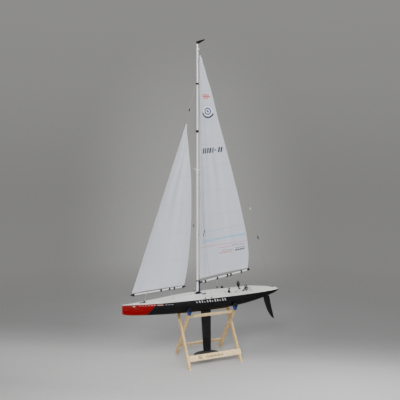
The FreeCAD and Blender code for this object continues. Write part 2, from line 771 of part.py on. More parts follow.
def slider_on(start, end, z, half_length, radius):
    middle = at_height(start, end, z)
    half = end.sub(start).normalize().multiply(half_length)
    return tube(middle.sub(half), middle.add(half), radius, WIRE_R + FIT)


def stay_adjusters():
    sliders = []
    for run, side, z in ADJUSTERS:
        start, end = shroud_runs()[run]
        start = V(start.x, start.y * side, start.z)
        end = V(end.x, end.y * side, end.z)
        sliders.append(slider_on(start, end, z, 7, 2.2))
    foot, top = backstay_run()
    sliders.append(slider_on(foot, top, 897, 5, 3.4))
    sliders.append(slider_on(foot, top, 714, 8, 2.4))
    return Part.makeCompound(sliders)


def backstay_run():
    return BACKSTAY_FOOT.add(V(0, 0, 0.5)), BACKSTAY_TOP.add(V(-4.5, 0, -3))


def luff_wire():
    return rod(V(LUFF_X, 0, 482.3), V(LUFF_X, 0, 1830), WIRE_R)


# ---------------------------------------------------------------- mainsail and boom
def main_set(shape):
    return turned(shape, V(LUFF_X, 0, 0), UP, MAIN_REST)


def sail_section(luff, leech, camber, leeward):
    """A thin cambered strip from luff to leech, thick across the cloth."""
    middle = between(luff, leech, 0.42)
    depth = luff.distanceToPoint(leech) * camber
    cloth = V(leeward).multiply(SAIL_CLOTH)
    belly = middle.add(V(leeward).multiply(depth))
    near = Part.Arc(luff, belly, leech).toShape()
    far = Part.Arc(leech.add(cloth), belly.add(cloth), luff.add(cloth)).toShape()
    end = Part.makeLine(leech, leech.add(cloth))
    start = Part.makeLine(luff.add(cloth), luff)
    return Part.Wire([near, end, far, start])


def main_sail():
    sections = []
    for luff_z, leech_x, leech_z in MAIN_SAIL:
        luff = V(LUFF_X - 2.2, 0.3, luff_z)
        leech = V(leech_x, 0.3, leech_z)
        share = min((luff_z - MAIN_SAIL[0][0]) / 250, 1)
        camber = MAIN_CAMBER * (0.35 + 0.65 * share)
        sections.append(sail_section(luff, leech, camber, V(0, -1, 0)))
    return main_set(Part.makeLoft(sections, True, False))


def main_boom_point(x):
    share = (MAIN_BOOM[0] - x) / (MAIN_BOOM[0] - MAIN_BOOM[1])
    return V(x, 0, BOOM_Z + MAIN_BOOM_RISE * share)


def main_boom():
    start = main_boom_point(MAIN_BOOM[0])
    end = main_boom_point(MAIN_BOOM[1])
    return main_set(tube(start, end, MAIN_BOOM_R, MAIN_BOOM_R - MAST_WALL))


def boom_gooseneck():
    barrel = rod(V(LUFF_X, 0, 457), V(LUFF_X, 0, 472.5), 4.6)
    arm = rod(V(LUFF_X, 0, BOOM_Z - 2), main_boom_point(MAIN_BOOM[0] + 0.1), MAIN_BOOM_R)
    plug = rod(main_boom_point(MAIN_BOOM[0] + 0.3), main_boom_point(MAIN_BOOM[0] - 14),
               MAIN_BOOM_R - MAST_WALL - FIT)
    bore = rod(V(LUFF_X, 0, 450), V(LUFF_X, 0, 480), GOOSE_PIN_R + FIT)
    return main_set(biggest(barrel.fuse([arm, plug]).cut(bore)))


def boom_band(point, radius, half_length, thick):
    start = V(point.x - half_length, 0, point.z)
    end = V(point.x + half_length, 0, point.z)
    return tube(start, end, radius + thick, radius + 0.6)


def main_boom_fittings():
    """Clamps along the boom with an eye below, and the end cap with the outhaul."""
    pieces = []
    slope = MAIN_BOOM_RISE / (MAIN_BOOM[0] - MAIN_BOOM[1])
    tilt = math.degrees(math.atan(slope))
    for x in (-14, -106, -186, -214, -300):
        point = main_boom_point(x)
        clamp = boom_band(point, MAIN_BOOM_R, 4.5, 2.8)
        lug = box(x - 3, x + 3, -1.6, 1.6, point.z - MAIN_BOOM_R - 8, point.z - MAIN_BOOM_R - 1.2)
        clamp = clamp.fuse(lug)
        clamp.rotate(point, V(0, 1, 0), tilt)
        pieces += clamp.Solids
    end = main_boom_point(MAIN_BOOM[1] - 0.2)
    cap = rod(end, main_boom_point(MAIN_BOOM[1] - 8), MAIN_BOOM_R + 1.6)
    pieces.append(cap)
    return main_set(Part.makeCompound(pieces))


def main_sheet():
    under_boom = V(-106, 0, main_boom_point(-106).z - MAIN_BOOM_R - 8.4)
    eye = main_set(Part.Vertex(under_boom)).Point
    return rod(eye, V(eye.x, eye.y, SHEET_FOOT_Z), SHEET_R)


# ---------------------------------------------------------------- jib and boom
def jib_axis():
    return JIB_HOIST.sub(JIB_PIVOT).normalize()


def jib_set(shape):
    return turned(shape, JIB_PIVOT, jib_axis(), JIB_REST)


def jib_sail():
    sections = []
    for share, leech_x, leech_z in JIB_SAIL:
        luff = between(JIB_TACK, JIB_HEAD, share).add(V(0, 0.3, 0))
        leech = V(leech_x, 0.3, leech_z)
        fill = min(share / 0.25, 1)
        camber = JIB_CAMBER * (0.35 + 0.65 * fill)
        sections.append(sail_section(luff, leech, camber, V(0, -1, 0)))
    return jib_set(Part.makeLoft(sections, True, False))


def jib_boom():
    start = V(JIB_BOOM[0], 0, JIB_BOOM_Z)
    end = V(JIB_BOOM[1], 0, JIB_BOOM_Z)
    return jib_set(tube(start, end, JIB_BOOM_R, JIB_BOOM_R - MAST_WALL))


def jib_pivot_on_boom():
    return at_height(JIB_PIVOT, JIB_HOIST, JIB_BOOM_Z)


def jib_boom_fittings():
    pieces = []
    for x in (440, 262, 204, 172, 112):
        clamp = boom_band(V(x, 0, JIB_BOOM_Z), JIB_BOOM_R, 4, 2.3)
        lug = box(x - 2.4, x + 2.4, -1.3, 1.3, JIB_BOOM_Z - JIB_BOOM_R - 6, JIB_BOOM_Z - JIB_BOOM_R - 1)
        pieces += clamp.fuse(lug).Solids
    for x, way in ((JIB_BOOM[0], 1), (JIB_BOOM[1], -1)):
        start = V(x + way * 0.2, 0, JIB_BOOM_Z)
        pieces.append(rod(start, start.add(V(way * 5, 0, 0)), JIB_BOOM_R + 0.6))
    return jib_set(Part.makeCompound(pieces))


def jib_swivel():
    centre = jib_pivot_on_boom()
    axis = jib_axis()
    pin = rod(JIB_PIVOT, centre.sub(V(axis).multiply(JIB_BOOM_R + 3)), JIB_PIN_R)
    collar = boom_band(centre, JIB_BOOM_R, 5, 2.0)
    neck = rod(centre.sub(V(axis).multiply(JIB_BOOM_R + 6)),
               centre.sub(V(axis).multiply(JIB_BOOM_R + 0.9)), 2.0)
    return jib_set(pin.fuse([collar, neck]))


def jib_lines():
    """The halyard from the jib's head to the mast, its hook, and the jib sheet."""
    start = JIB_HEAD.add(V(0.6, 0, 4))
    end = between(JIB_HEAD, JIB_HOIST, 0.985)
    halyard = jib_set(rod(start, end, WIRE_R))
    hook = jib_set(slider_on(start, end, 1483, 7, 2.2))
    under_boom = V(204, 0, JIB_BOOM_Z - JIB_BOOM_R - 6.4)
    eye = jib_set(Part.Vertex(under_boom)).Point
    sheet = rod(eye, V(195, -6, surface(193, 0) + 6), SHEET_R)
    return Part.makeCompound([halyard, hook, sheet])


# ---------------------------------------------------------------- folding stand
def leg_angle():
    return math.degrees(math.atan2(FOOT_Y, PIVOT_Z))


def leg_solid(x):
    """One leg along +Z through the pivot, tilted so that its foot is to port."""
    drop = math.hypot(FOOT_Y, PIVOT_Z) + 30
    reach = LEG_TOP - math.hypot(FOOT_Y, PIVOT_Z)
    leg = box(x - LEG_THICK / 2, x + LEG_THICK / 2, -LEG_WIDE / 2, LEG_WIDE / 2,
              PIVOT_Z - drop, PIVOT_Z + reach)
    bolt_hole = rod(V(x - 20, 0, PIVOT_Z), V(x + 20, 0, PIVOT_Z), BOLT_R + FIT)
    leg = leg.cut(bolt_hole)
    leg.rotate(V(0, 0, PIVOT_Z), V(1, 0, 0), leg_angle())
    floor = box(-400, 400, -400, 400, -200, 0)
    return leg.cut(floor)


def leg_block(x0, x1, across, along):
    """A block in the outer frame's plane: across the leg's width, along it from the pivot."""
    block = box(x0, x1, across[0], across[1], PIVOT_Z + along[0], PIVOT_Z + along[1])
    block.rotate(V(0, 0, PIVOT_Z), V(1, 0, 0), leg_angle())
    return block


def mirrored(shape):
    return shape.mirror(V(0, 0, 0), V(0, 1, 0))


def inner_leg_x():
    step = LEG_THICK + LEG_SIDE_GAP
    return LEG_X_OUTER[0] + step, LEG_X_OUTER[1] - step


def outer_leg(end):
    return leg_solid(LEG_X_OUTER[end])


def inner_leg(end):
    return mirrored(leg_solid(inner_leg_x()[end]))


def stand_board():
    aft, fore = LEG_X_OUTER
    half = LEG_WIDE / 2
    side = LEG_THICK / 2
    return leg_block(aft - side, fore - side, (half, half + BOARD_THICK), (-199, -166))


def outer_top_rail():
    aft, fore = LEG_X_OUTER
    half = LEG_WIDE / 2
    return leg_block(aft - 6, fore + 6, (-half - BOARD_THICK, -half), (98, 113))


def inner_low_rail():
    aft, fore = inner_leg_x()
    half = LEG_WIDE / 2
    side = LEG_THICK / 2
    return mirrored(leg_block(aft - side, fore + side, (half, half + BOARD_THICK), (-195, -170)))


def inner_top_rail():
    aft, fore = inner_leg_x()
    side = LEG_THICK / 2
    return mirrored(leg_block(aft + side, fore - side, (-3.5, 10.5), (97, 109)))


def pads(leg_places):
    sleeves = []
    top = LEG_TOP - math.hypot(FOOT_Y, PIVOT_Z)
    half = LEG_WIDE / 2
    for x in leg_places:
        x0 = x - LEG_THICK / 2
        x1 = x + LEG_THICK / 2
        outside = leg_block(x0 - PAD_SIDE, x1 + PAD_SIDE, (-half - PAD_THICK, half + PAD_THICK),
                            (top - PAD_LONG, top + PAD_CAP))
        inside = leg_block(x0, x1, (-half, half), (top - PAD_LONG - 1, top))
        sleeves.append(outside.cut(inside))
    # the foam is pressed to the hull's shape
    return Part.makeCompound(sleeves).cut(hull_solid(OUTER_X, -HULL_GAP, 0))


def pivot_bolts():
    bolts = []
    for outer_x, inner_x in zip(LEG_X_OUTER, inner_leg_x()):
        way = 1 if outer_x > 0 else -1
        start = V(outer_x + way * (LEG_THICK / 2), 0, PIVOT_Z)
        end = V(inner_x - way * (LEG_THICK / 2 + 7), 0, PIVOT_Z)
        shank = rod(start, end, BOLT_R)
        head = rod(start.add(V(way * 0.1, 0, 0)), start.add(V(way * 3, 0, 0)), 7)
        nut_x = inner_x - way * (LEG_THICK / 2 + 0.3)
        nut = rod(V(nut_x, 0, PIVOT_Z), V(nut_x - way * 5, 0, PIVOT_Z), 5.5)
        bolts.append(shank.fuse([head, nut]))
        inside = V(outer_x - way * LEG_THICK / 2, 0, PIVOT_Z)
        washer_end = inside.sub(V(way * (LEG_SIDE_GAP - 0.3), 0, 0))
        bolts.append(tube(inside, washer_end, 9, BOLT_R + FIT))
    return Part.makeCompound(bolts)


# ---------------------------------------------------------------- all sub-parts
SUBPARTS = {
    "hull": hull_shell,
    "deck": deck,
    "hatch_cover": hatch_cover,
    "keel_fin": keel_fin,
    "keel_bulb": bulb_body,
    "keel_trunk": keel_trunk,
    "keel_bolt": keel_bolt,
    "rudder": rudder_blade,
    "rudder_tube": rudder_tube,
    "tiller_arm": tiller_arm,
    "rudder_servo": rudder_servo,
    "servo_horn": servo_horn,
    "rudder_pushrod": rudder_pushrod,
    "radio_tray": radio_tray,
    "sail_winch": sail_winch,
    "winch_drum": winch_drum,
    "receiver": receiver,
    "battery_pack": battery_pack,
    "power_switch": power_switch,
    "switch_knob": switch_knob,
    "deck_eyelets": deck_eyelets,
    "deck_winches": deck_winches,
    "chainplates": chainplates,
    "jib_deck_plate": jib_deck_plate,
    "helm_pedestals": helm_pedestals,
    "port_helm_wheel": lambda: helm_wheel(1),
    "starboard_helm_wheel": lambda: helm_wheel(-1),
    "mast_step": mast_step,
    "mast_lower": mast_lower,
    "mast_upper": mast_upper,
    "mast_joiner": mast_joiner,
    "spreaders": spreaders,
    "gooseneck_bracket": gooseneck_bracket,
    "gooseneck_post": gooseneck_post,
    "mast_fittings": mast_fittings,
    "masthead_crane": masthead_crane,
    "standing_rigging": standing_rigging,
    "stay_adjusters": stay_adjusters,
    "luff_wire": luff_wire,
    "main_sail": main_sail,
    "main_boom": main_boom,
    "boom_gooseneck": boom_gooseneck,
    "main_boom_fittings": main_boom_fittings,
    "main_sheet": main_sheet,
    "jib_sail": jib_sail,
    "jib_boom": jib_boom,
    "jib_boom_fittings": jib_boom_fittings,
    "jib_swivel": jib_swivel,
    "jib_lines": jib_lines,
    "stand_outer_leg_aft": lambda: outer_leg(0),
    "stand_outer_leg_fore": lambda: outer_leg(1),
    "stand_board": stand_board,
    "stand_outer_top_rail": outer_top_rail,
    "stand_inner_leg_aft": lambda: inner_leg(0),
    "stand_inner_leg_fore": lambda: inner_leg(1),
    "stand_inner_low_rail": inner_low_rail,
    "stand_inner_top_rail": inner_top_rail,
    "stand_outer_pads": lambda: pads(LEG_X_OUTER),
    "stand_inner_pads": lambda: mirrored(pads(inner_leg_x())),
    "stand_pivot_bolts": pivot_bolts,
}


def main():
    os.makedirs("parts", exist_ok=True)
    for name, make in SUBPARTS.items():
        shape = make()
        shape.exportStep("parts/" + name + ".step")
        print(name, round(shape.Volume / 1000, 2), "cm3", len(shape.Solids), shape.isValid())


main()
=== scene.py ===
import json
import math

import bmesh
import bpy
from mathutils import Matrix, Vector
from mathutils.bvhtree import BVHTree

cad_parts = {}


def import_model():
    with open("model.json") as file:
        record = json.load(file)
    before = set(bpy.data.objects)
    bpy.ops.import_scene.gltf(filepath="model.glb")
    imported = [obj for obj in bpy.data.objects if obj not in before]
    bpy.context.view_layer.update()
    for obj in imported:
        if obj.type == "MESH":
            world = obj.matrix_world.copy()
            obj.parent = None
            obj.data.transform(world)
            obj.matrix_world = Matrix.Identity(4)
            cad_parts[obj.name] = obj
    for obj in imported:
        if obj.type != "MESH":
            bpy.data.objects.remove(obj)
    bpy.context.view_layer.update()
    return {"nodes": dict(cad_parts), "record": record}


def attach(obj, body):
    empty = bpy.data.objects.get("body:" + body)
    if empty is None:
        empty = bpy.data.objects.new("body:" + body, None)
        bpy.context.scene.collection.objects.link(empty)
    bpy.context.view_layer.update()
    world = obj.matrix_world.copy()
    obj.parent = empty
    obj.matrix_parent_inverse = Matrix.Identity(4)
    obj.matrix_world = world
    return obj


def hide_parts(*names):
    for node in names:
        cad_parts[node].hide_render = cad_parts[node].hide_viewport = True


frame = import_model()
NODES = frame["nodes"]

MM = 0.001
UP = Vector((0, 0, 1))
WELD = 1e-7


# ---------------------------------------------------------------- materials
def add_node(tree, kind, inputs=(), **settings):
    """A shader node with its settings made and its inputs linked or set."""
    made = tree.nodes.new(kind)
    for key, value in settings.items():
        setattr(made, key, value)
    for key, value in dict(inputs).items():
        if isinstance(value, bpy.types.NodeSocket):
            tree.links.new(value, made.inputs[key])
        else:
            made.inputs[key].default_value = value
    return made


def add_ramp(tree, value, stops):
    """A colour ramp; each stop is (place, colour)."""
    made = add_node(tree, "ShaderNodeValToRGB", {"Fac": value})
    elements = made.color_ramp.elements
    while len(elements) < len(stops):
        elements.new(0.5)
    for element, (place, colour) in zip(elements, stops):
        element.position = place
        element.color = (*colour, 1)
    return made.outputs["Color"]


class Look:
    """A procedural material being built."""

    def __init__(self, name, **sockets):
        self.mat = bpy.data.materials.new(name)
        self.mat.use_nodes = True
        self.tree = self.mat.node_tree
        self.shader = self.tree.nodes["Principled BSDF"]
        for key, value in sockets.items():
            self.shader.inputs[key.replace("_", " ")].default_value = value
        self.coords = self.tree.nodes.new("ShaderNodeTexCoord").outputs["Object"]

    def node(self, kind, inputs=(), **settings):
        return add_node(self.tree, kind, inputs, **settings)

    def stretch(self, scale, turn=(0, 0, 0)):
        return self.node("ShaderNodeMapping", {"Vector": self.coords, "Scale": scale, "Rotation": turn}).outputs[0]

    def noise(self, size, detail=5, rough=0.55, where=None, distortion=0.0):
        return self.node("ShaderNodeTexNoise", {
            "Vector": where or self.coords, "Scale": size, "Detail": detail, "Roughness": rough,
            "Distortion": distortion}).outputs["Fac"]

    def cells(self, size):
        return self.node("ShaderNodeTexVoronoi", {"Vector": self.coords, "Scale": size}).outputs["Distance"]

    def ramp(self, value, stops):
        return add_ramp(self.tree, value, stops)

    def mottle(self, value, dark, light, start=0.3, end=0.7):
        return self.ramp(value, [(start, dark), (end, light)])

    def span(self, value, low, high, start=0.3, end=0.7, how="LINEAR"):
        """Maps start to low and end to high."""
        return self.node("ShaderNodeMapRange", {"Value": value, "From Min": start, "From Max": end,
                                                "To Min": low, "To Max": high}, interpolation_type=how).outputs[0]

    def math(self, how, a, b=0.0):
        return self.node("ShaderNodeMath", {0: a, 1: b}, operation=how).outputs[0]

    def axes(self):
        return self.node("ShaderNodeSeparateXYZ", {"Vector": self.coords}).outputs

    def blend(self, share, a, b):
        a, b = (c if isinstance(c, bpy.types.NodeSocket) else (*c, 1) for c in (a, b))
        return self.node("ShaderNodeMix", {0: share, 6: a, 7: b}, data_type="RGBA").outputs[2]

    def along(self, x, y, heading):
        """Distance along a level heading, clockwise from +Y."""
        return self.math("ADD", self.math("MULTIPLY", x, math.sin(heading)),
                         self.math("MULTIPLY", y, math.cos(heading)))

    def length(self, a, b):
        return self.math("SQRT", self.math("ADD", self.math("MULTIPLY", a, a), self.math("MULTIPLY", b, b)))

    def colour(self, value):
        self.tree.links.new(value, self.shader.inputs["Base Color"])

    def rough(self, value):
        self.tree.links.new(value, self.shader.inputs["Roughness"])

    def bump(self, *layers):
        """Each layer is (height, depth in millimetres)."""
        normal = None
        for height, depth in layers:
            inputs = {"Height": height, "Strength": 1.0, "Distance": depth * MM}
            if normal:
                inputs["Normal"] = normal
            normal = self.node("ShaderNodeBump", inputs).outputs[0]
        self.tree.links.new(normal, self.shader.inputs["Normal"])


def plastic(name, dark, light, rough=(0.35, 0.5), grain=900, depth=0.03, **sockets):
    look = Look(name, **sockets)
    look.colour(look.mottle(look.noise(35, 4), dark, light))
    look.rough(look.span(look.noise(70, 5), *rough))
    look.bump((look.noise(grain, 3), depth), (look.noise(60, 3), depth * 0.6))
    return look.mat


def metal(name, dark, light, rough=(0.2, 0.34), along=(60, 60, 2), metallic=1.0):
    """Drawn metal; along stretches its streaks."""
    look = Look(name, Metallic=metallic)
    streak = look.noise(12, 6, where=look.stretch(along))
    look.colour(look.mottle(streak, dark, light))
    look.rough(look.span(streak, *rough))
    look.bump((streak, 0.02))
    return look.mat


def hull_paint():
    """Black, with a red bow that ends in a raked line."""
    line_foot, line_z, line_rake = 0.316, 0.373, 0.72
    look = Look("hull_paint", Specular_IOR_Level=0.0, Coat_Weight=0.22, Coat_Roughness=0.04)
    x, y, z = look.axes()
    edge = look.math("ADD", look.math("MULTIPLY", look.math("SUBTRACT", line_z, z), line_rake), line_foot)
    cloud = look.noise(18, 4)
    black = look.mottle(cloud, (0.004, 0.004, 0.005), (0.008, 0.008, 0.009))
    red = look.mottle(cloud, (0.195, 0.0, 0.001), (0.245, 0.0, 0.002))
    look.colour(look.blend(look.math("GREATER_THAN", x, edge), black, red))
    look.rough(look.span(look.noise(90, 6), 0.16, 0.30))
    look.bump((look.noise(140, 2), 0.012), (look.noise(9, 2), 0.15))
    return look.mat


def deck_paint():
    look = Look("deck_paint", Coat_Weight=0.12, Coat_Roughness=0.3)
    dust = look.mottle(look.noise(7, 5), (0.66, 0.66, 0.635), (0.76, 0.76, 0.74), 0.25, 0.75)
    speck = look.span(look.noise(330, 4), 0, 1, 0.62, 0.72)
    look.colour(look.blend(look.math("MULTIPLY", speck, 0.25), dust, (0.50, 0.50, 0.48)))
    look.rough(look.span(look.noise(50, 6), 0.36, 0.52))
    look.bump((look.noise(1500, 2), 0.03), (look.noise(11, 2), 0.2))
    return look.mat


def sail_film():
    """Woven film with a square ripstop grid."""
    thread, grid, grid_edge = 3600, 630, 14
    look = Look("sail_film", Sheen_Weight=0.25, Sheen_Roughness=0.5, Subsurface_Weight=0.0)
    x, y, z = look.axes()

    def wave(axis, size):
        return look.math("SINE", look.math("MULTIPLY", axis, size))
    weave = look.math("ADD", wave(z, thread), wave(x, thread))
    ribs = [look.math("POWER", look.math("ABSOLUTE", wave(axis, grid)), grid_edge) for axis in (z, x)]
    rip = look.math("MAXIMUM", *ribs)
    cloud = look.noise(5, 5, where=look.stretch((1, 1, 0.35)))
    base = look.mottle(cloud, (0.61, 0.625, 0.71), (0.69, 0.705, 0.785), 0.25, 0.75)
    look.colour(look.blend(look.math("MULTIPLY", rip, 0.18), base, (0.80, 0.815, 0.87)))
    look.rough(look.span(look.noise(30, 4), 0.5, 0.66))
    wrinkle = look.noise(14, 4, where=look.stretch((1, 1, 0.45)), distortion=0.6)
    look.bump((weave, 0.02), (rip, 0.03), (wrinkle, 0.9))
    return look.mat


def cloth_print(name, dark, light):
    look = Look(name, Sheen_Weight=0.1)
    look.colour(look.mottle(look.noise(260, 5), dark, light, 0.35, 0.65))
    look.rough(look.span(look.noise(60, 4), 0.45, 0.65))
    look.bump((look.noise(900, 3), 0.03))
    return look.mat


def wood(name, turn, pale=(0.86, 0.61, 0.29), deep=(0.60, 0.36, 0.14)):
    """turn brings the grain's direction to the local Z axis."""
    look = Look(name, Coat_Weight=0.18, Coat_Roughness=0.25)
    lengthwise = look.stretch((1, 1, 0.05), turn)
    warp = look.noise(9, 3, where=lengthwise)
    rings = look.math("SINE", look.math("MULTIPLY", warp, 55))
    ring_tone = look.span(rings, 0, 1, -1, 1)
    fibre = look.noise(420, 6, 0.65, where=lengthwise)
    tone = look.math("ADD", look.math("MULTIPLY", ring_tone, 0.55), look.math("MULTIPLY", fibre, 0.45))
    wide = look.noise(6, 3, where=look.stretch((1, 1, 0.25), turn))
    middle = tuple((a + b) / 2 for a, b in zip(pale, deep))
    base = look.ramp(tone, [(0.15, pale), (0.55, middle), (0.95, deep)])
    look.colour(look.blend(look.math("MULTIPLY", wide, 0.45), base, tuple(0.93 * c for c in pale)))
    look.rough(look.span(fibre, 0.42, 0.62))
    look.bump((fibre, 0.12), (ring_tone, 0.05))
    return look.mat


def foam():
    """Blue foam, with painted shade: black near its top, where it tucks under the hull."""
    look = Look("blue_foam", Sheen_Weight=0.04, Specular_IOR_Level=0.2)
    pores = look.cells(900)
    x, y, z = look.axes()
    blue = look.mottle(look.noise(60, 5), (0.009, 0.032, 0.15), (0.018, 0.055, 0.22))
    # Painted shade: the sleeve turns near-black above z 0.320 m, where it sits under the hull.
    look.colour(look.blend(look.span(z, 0, 1, 0.320, 0.328), blue, (0.004, 0.006, 0.016)))
    look.rough(look.span(pores, 0.75, 0.95, 0, 0.6))
    look.bump((pores, 0.25), (look.noise(120, 4), 0.3))
    return look.mat


def cord_look(name, dark, light, twist=2600):
    look = Look(name, Sheen_Weight=0.4)
    x, y, z = look.axes()
    slant = look.math("ADD", z, look.math("ADD", x, y))
    strands = look.math("SINE", look.math("MULTIPLY", slant, twist))
    look.colour(look.mottle(look.span(strands, 0, 1, -1, 1), dark, light, 0.1, 0.9))
    look.rough(look.span(look.noise(200, 3), 0.6, 0.8))
    look.bump((strands, 0.12))
    return look.mat


MATERIALS = {
    "hull_gelcoat": hull_paint(),
    "deck_white": deck_paint(),
    "keel_black": plastic("keel_black", (0.004, 0.004, 0.005), (0.009, 0.009, 0.010), (0.28, 0.42), 500, 0.02,
                          Specular_IOR_Level=0.15, Coat_Weight=0.08, Coat_Roughness=0.2),
    "bulb_black": plastic("bulb_black", (0.010, 0.010, 0.010), (0.020, 0.020, 0.021), (0.35, 0.55), 260, 0.08),
    "inner_plastic": plastic("inner_plastic", (0.03, 0.03, 0.03), (0.05, 0.05, 0.05)),
    "black_nylon": plastic("black_nylon", (0.002, 0.002, 0.003), (0.006, 0.006, 0.007), (0.34, 0.5), 1100, 0.05,
                           Specular_IOR_Level=0.15),
    "servo_case": plastic("servo_case", (0.02, 0.02, 0.022), (0.035, 0.035, 0.038), (0.45, 0.6), 1500, 0.06),
    "battery_wrap": plastic("battery_wrap", (0.03, 0.16, 0.38), (0.05, 0.22, 0.46), (0.15, 0.3), 500, 0.03),
    "mast_alloy": metal("mast_alloy", (0.93, 0.93, 0.94), (0.98, 0.98, 0.99), (0.30, 0.42), metallic=0.1),
    "blue_alloy": metal("blue_alloy", (0.035, 0.05, 0.17), (0.06, 0.085, 0.25), (0.25, 0.38)),
    "steel": metal("steel", (0.50, 0.50, 0.50), (0.68, 0.68, 0.68), (0.25, 0.4), (30, 30, 30)),
    "brass": metal("brass", (0.60, 0.43, 0.17), (0.75, 0.56, 0.26)),
    "rig_wire": cord_look("rig_wire", (0.10, 0.10, 0.10), (0.26, 0.26, 0.27), 5200),
    "sheet_line": cord_look("sheet_line", (0.30, 0.30, 0.29), (0.58, 0.58, 0.55)),
    "sailcloth": sail_film(),
    "plywood": wood("plywood", (0, math.radians(90), 0), (0.66, 0.50, 0.32), (0.50, 0.35, 0.20)),
    "blue_foam": foam(),
}
LEG_TILT = math.radians(34.36)
PINE_OUTER = wood("pine_outer", (-LEG_TILT, 0, 0))
# The inner legs' pine is the same wood in darker colours: painted shade for the stand's shaded inner side.
PINE_INNER_SHADED = wood("pine_inner_shaded", (LEG_TILT, 0, 0), (0.80, 0.56, 0.27), (0.55, 0.33, 0.13))
PINE_RAIL = wood("pine_rail", (0, math.radians(90), 0), (0.90, 0.69, 0.38), (0.70, 0.48, 0.23))
SEAM_CLOTH = cloth_print("seam_cloth", (0.58, 0.595, 0.67), (0.64, 0.655, 0.73))
HEM_CLOTH = cloth_print("hem_cloth", (0.68, 0.695, 0.77), (0.74, 0.755, 0.82))
PRINT_RED = cloth_print("print_red", (0.62, 0.05, 0.045), (0.74, 0.10, 0.09))
PRINT_WHITE = cloth_print("print_white", (0.88, 0.89, 0.91), (0.94, 0.95, 0.96))
PRINT_BLUE = cloth_print("print_blue", (0.012, 0.05, 0.24), (0.03, 0.09, 0.33))
PRINT_NAVY = cloth_print("print_navy", (0.012, 0.020, 0.055), (0.022, 0.033, 0.085))
PRINT_SKY = cloth_print("print_sky", (0.20, 0.48, 0.74), (0.34, 0.60, 0.82))
PRINT_ROSE = cloth_print("print_rose", (0.62, 0.13, 0.16), (0.72, 0.22, 0.25))
PRINT_GREY = cloth_print("print_grey", (0.20, 0.21, 0.23), (0.28, 0.29, 0.31))
STRIPE_SILVER = cloth_print("stripe_silver", (0.26, 0.28, 0.31), (0.62, 0.64, 0.67))
STRIPE_ROSE = cloth_print("stripe_rose", (0.60, 0.26, 0.25), (0.72, 0.36, 0.34))
SCORCH = cloth_print("scorch", (0.05, 0.03, 0.018), (0.10, 0.06, 0.035))
WHITE_NYLON = plastic("white_nylon", (0.70, 0.70, 0.70), (0.80, 0.80, 0.80))


# ---------------------------------------------------------------- mesh building, in millimetres
def unit_circle(side, other, steps):
    """Directions spread evenly round the circle that two directions span."""
    turns = [2 * math.pi * k / steps for k in range(steps)]
    return [side * math.cos(t) + other * math.sin(t) for t in turns]


def square_to(along):
    """Two unit directions square to a unit direction and to each other."""
    side = along.orthogonal().normalized()
    return side, along.cross(side)


